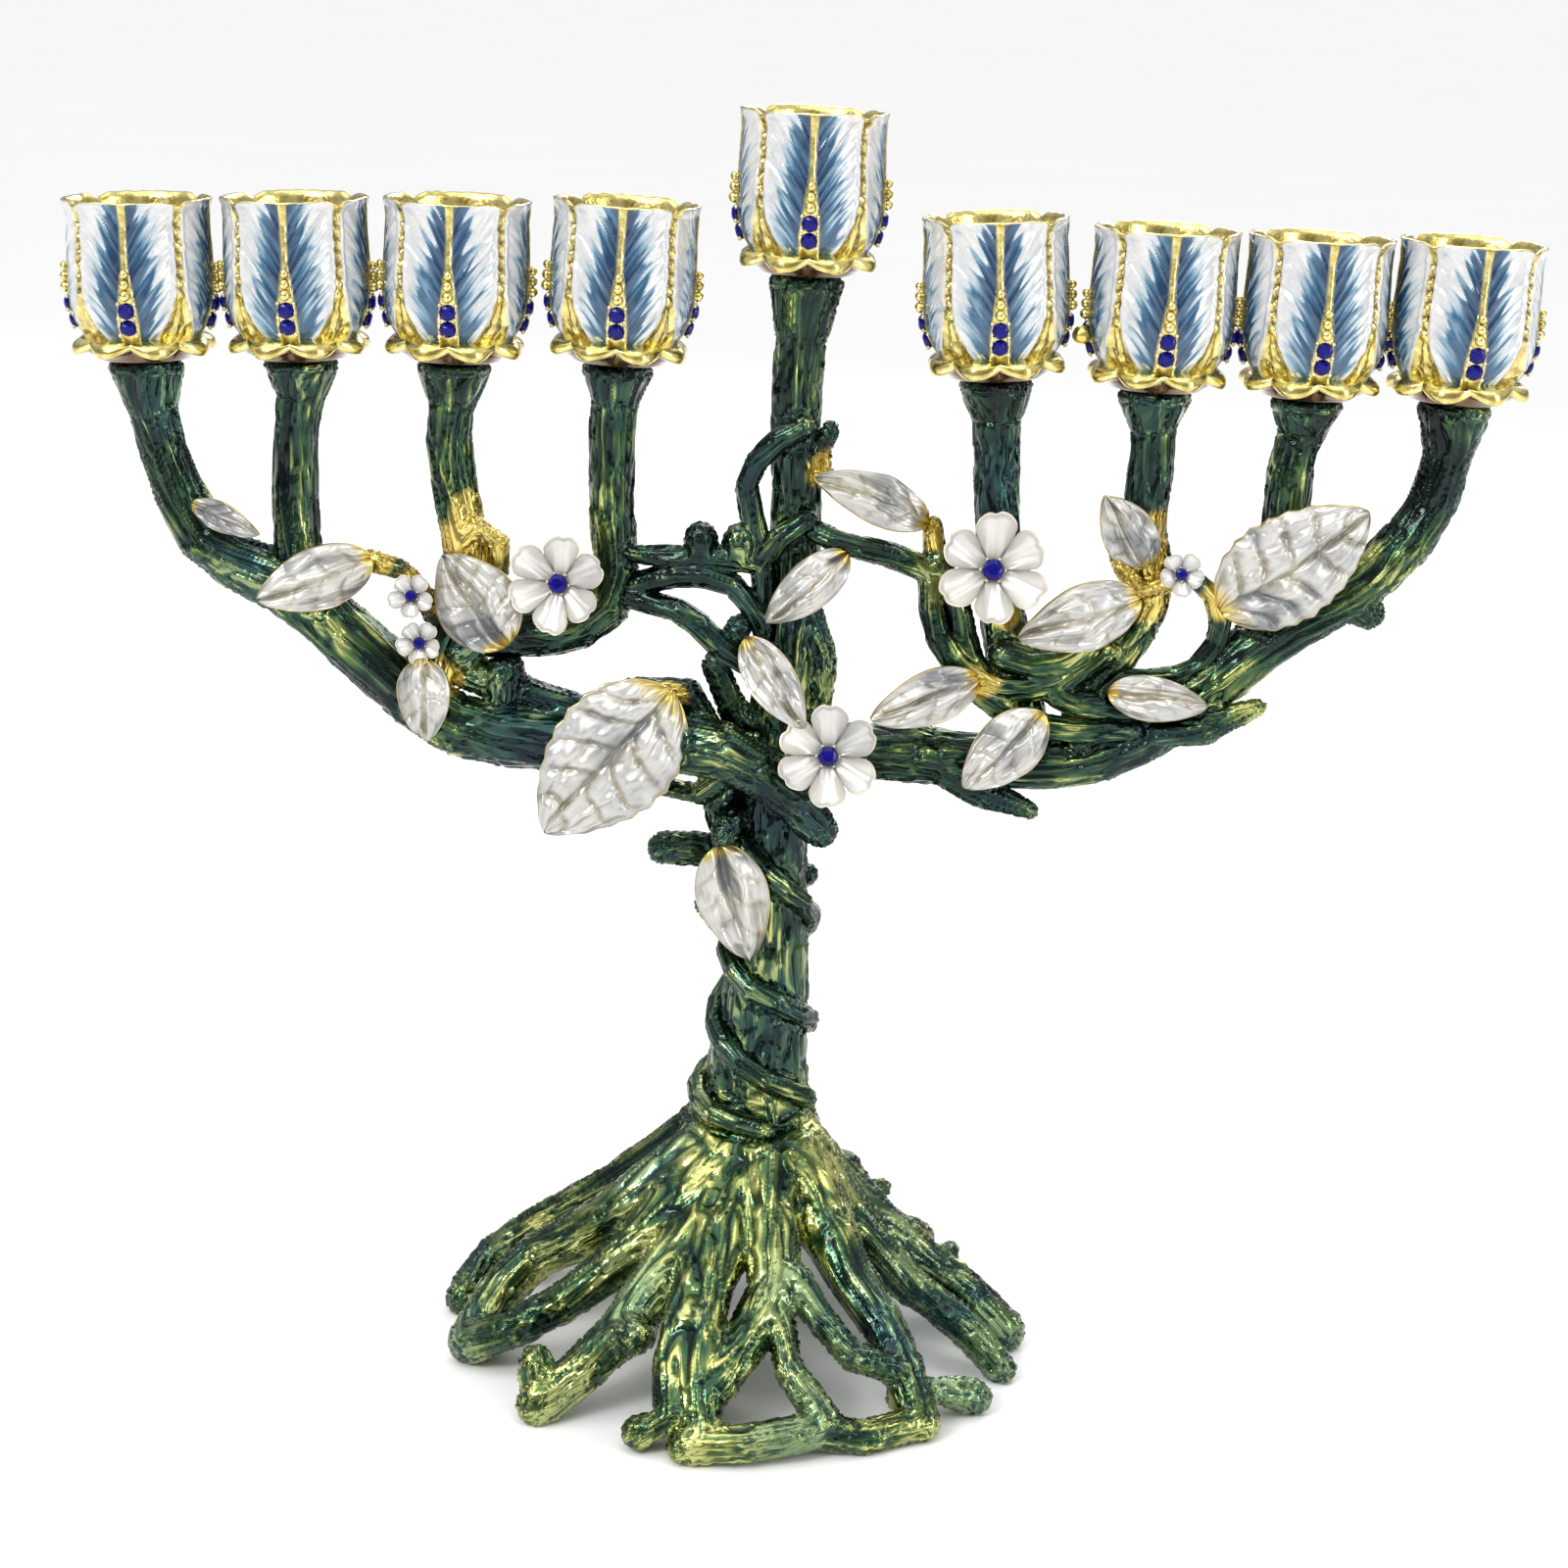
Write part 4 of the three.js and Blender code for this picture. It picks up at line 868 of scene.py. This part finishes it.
# the bead on a stalk beside the seventh cup
spur = node_points("candle_cup_7")
seat = Vector(SEATS["candle_seat_7"]["pos_m"]) / MM
spur = spur[spur[:, 0] < seat.x - 12.4]
tip = spur[np.argmin(spur[:, 0])]
bead = np.array([tip[0] + 1.5, spur[:, 1].mean(), spur[spur[:, 0] < tip[0] + 1.6][:, 2].mean()])
bag = Bag()
ball(bag, bead, 1.6, rows=14, cols=20)
root = np.array([seat.x - 10.6, seat.y, bead[2] - 0.9])
ts = np.linspace(0, 1, 12)
path = bead + (root - bead) * ts[:, None]
ring = np.linspace(0, 2 * np.pi, 14, endpoint=False)
stalk = np.stack([p + (0.75 + 0.25 * t) * np.stack([0 * ring, np.cos(ring), np.sin(ring)], -1)
                  for p, t in zip(path, ts)])
bag.add(stalk.reshape(-1, 3), grid_faces(12, 14))
finish_piece(new_object("cup_7_spur", bag.mesh("cup_7_spur"), GOLD), None)


# ------------------------------------------------------------------ stage, light and camera
def plain(name, colour, rough):
    m, tree, bsdf = material(name)
    tone = ramp(tree, grain(tree, 0.004, 2.0), [(0.3, tuple(c * 0.985 for c in colour)),
                                                (0.7, colour)])
    tree.links.new(tone, bsdf.inputs["Base Color"])
    bsdf.inputs["Roughness"].default_value = rough
    return m


FLOOR_REACH = 40   # m
mesh = bpy.data.meshes.new("floor")
mesh.from_pydata([(x * FLOOR_REACH, y * FLOOR_REACH, 0)
                  for x, y in ((-1, -1), (1, -1), (1, 1), (-1, 1))], [], [(0, 1, 2, 3)])
floor = new_object("floor", mesh, plain("floor_pale", (0.90, 0.90, 0.90), 0.6))
floor.location.z = -0.0002

world = bpy.data.worlds.new("studio")
bpy.context.scene.world = world
world.use_nodes = True
sky = world.node_tree
direction = sky.nodes.new("ShaderNodeTexCoord")
split = sky.nodes.new("ShaderNodeSeparateXYZ")
sky.links.new(direction.outputs["Generated"], split.inputs["Vector"])
height = math_node(sky, "MULTIPLY", math_node(sky, "ADD", split.outputs["Z"], 1.0), 0.5)
sky.links.new(ramp(sky, height, [(0.0, (0.7, 0.7, 0.7)), (0.50, (0.22, 0.22, 0.23)),
                                 (0.62, (0.42, 0.42, 0.43)), (0.85, (1.0, 1.0, 1.0))]),
              sky.nodes["Background"].inputs["Color"])
sky.nodes["Background"].inputs["Strength"].default_value = 0.85


def area_light(name, position, target, size, power, colour=(1, 1, 1)):
    data = bpy.data.lights.new(name, "AREA")
    data.shape = "RECTANGLE"
    data.size, data.size_y = size
    data.energy = power
    data.color = colour
    lamp = bpy.data.objects.new(name, data)
    bpy.context.scene.collection.objects.link(lamp)
    lamp.location = position
    lamp.rotation_euler = (Vector(target) - Vector(position)).to_track_quat("-Z", "Y").to_euler()
    return lamp


area_light("key", (-0.55, -0.70, 0.75), (0, 0, 0.11), (0.30, 0.30), 5.0)
area_light("fill", (0.80, -0.55, 0.40), (0, 0, 0.11), (0.25, 0.6), 3.0)
sun = bpy.data.objects.new("soft_sun", bpy.data.lights.new("soft_sun", "SUN"))
sun.data.energy = 1.3
sun.data.angle = math.radians(70)
sun.rotation_euler = (math.radians(18), math.radians(-12), 0)
bpy.context.scene.collection.objects.link(sun)
area_light("back", (0.3, 0.8, 0.6), (0, 0, 0.12), (0.8, 0.4), 3)

SENSOR = 36                          # mm
FOCAL_SHARE = 3000 / 1600            # focal length over the width of the picture
EYE = (-0.0005, -0.49888, 0.251)     # m
pitch, roll = math.radians(16.3), math.radians(-1.89)
camera = bpy.data.cameras.new("camera")
camera.sensor_width = SENSOR
camera.lens = FOCAL_SHARE * SENSOR
camera.clip_start = 0.02
eye = bpy.data.objects.new("camera", camera)
bpy.context.scene.collection.objects.link(eye)
forward = Vector((0, math.cos(pitch), -math.sin(pitch)))
level_up = Vector((0, math.sin(pitch), math.cos(pitch)))
up = level_up * math.cos(roll) + Vector((1, 0, 0)) * math.sin(roll)
right = Vector((1, 0, 0)) * math.cos(roll) - level_up * math.sin(roll)
eye.matrix_world = (Matrix.Translation(EYE)
                    @ Matrix((right, up, -forward)).transposed().to_4x4())
bpy.context.scene.camera = eye
bpy.context.scene.view_settings.view_transform = "Standard"
bpy.context.scene.view_settings.look = "None"
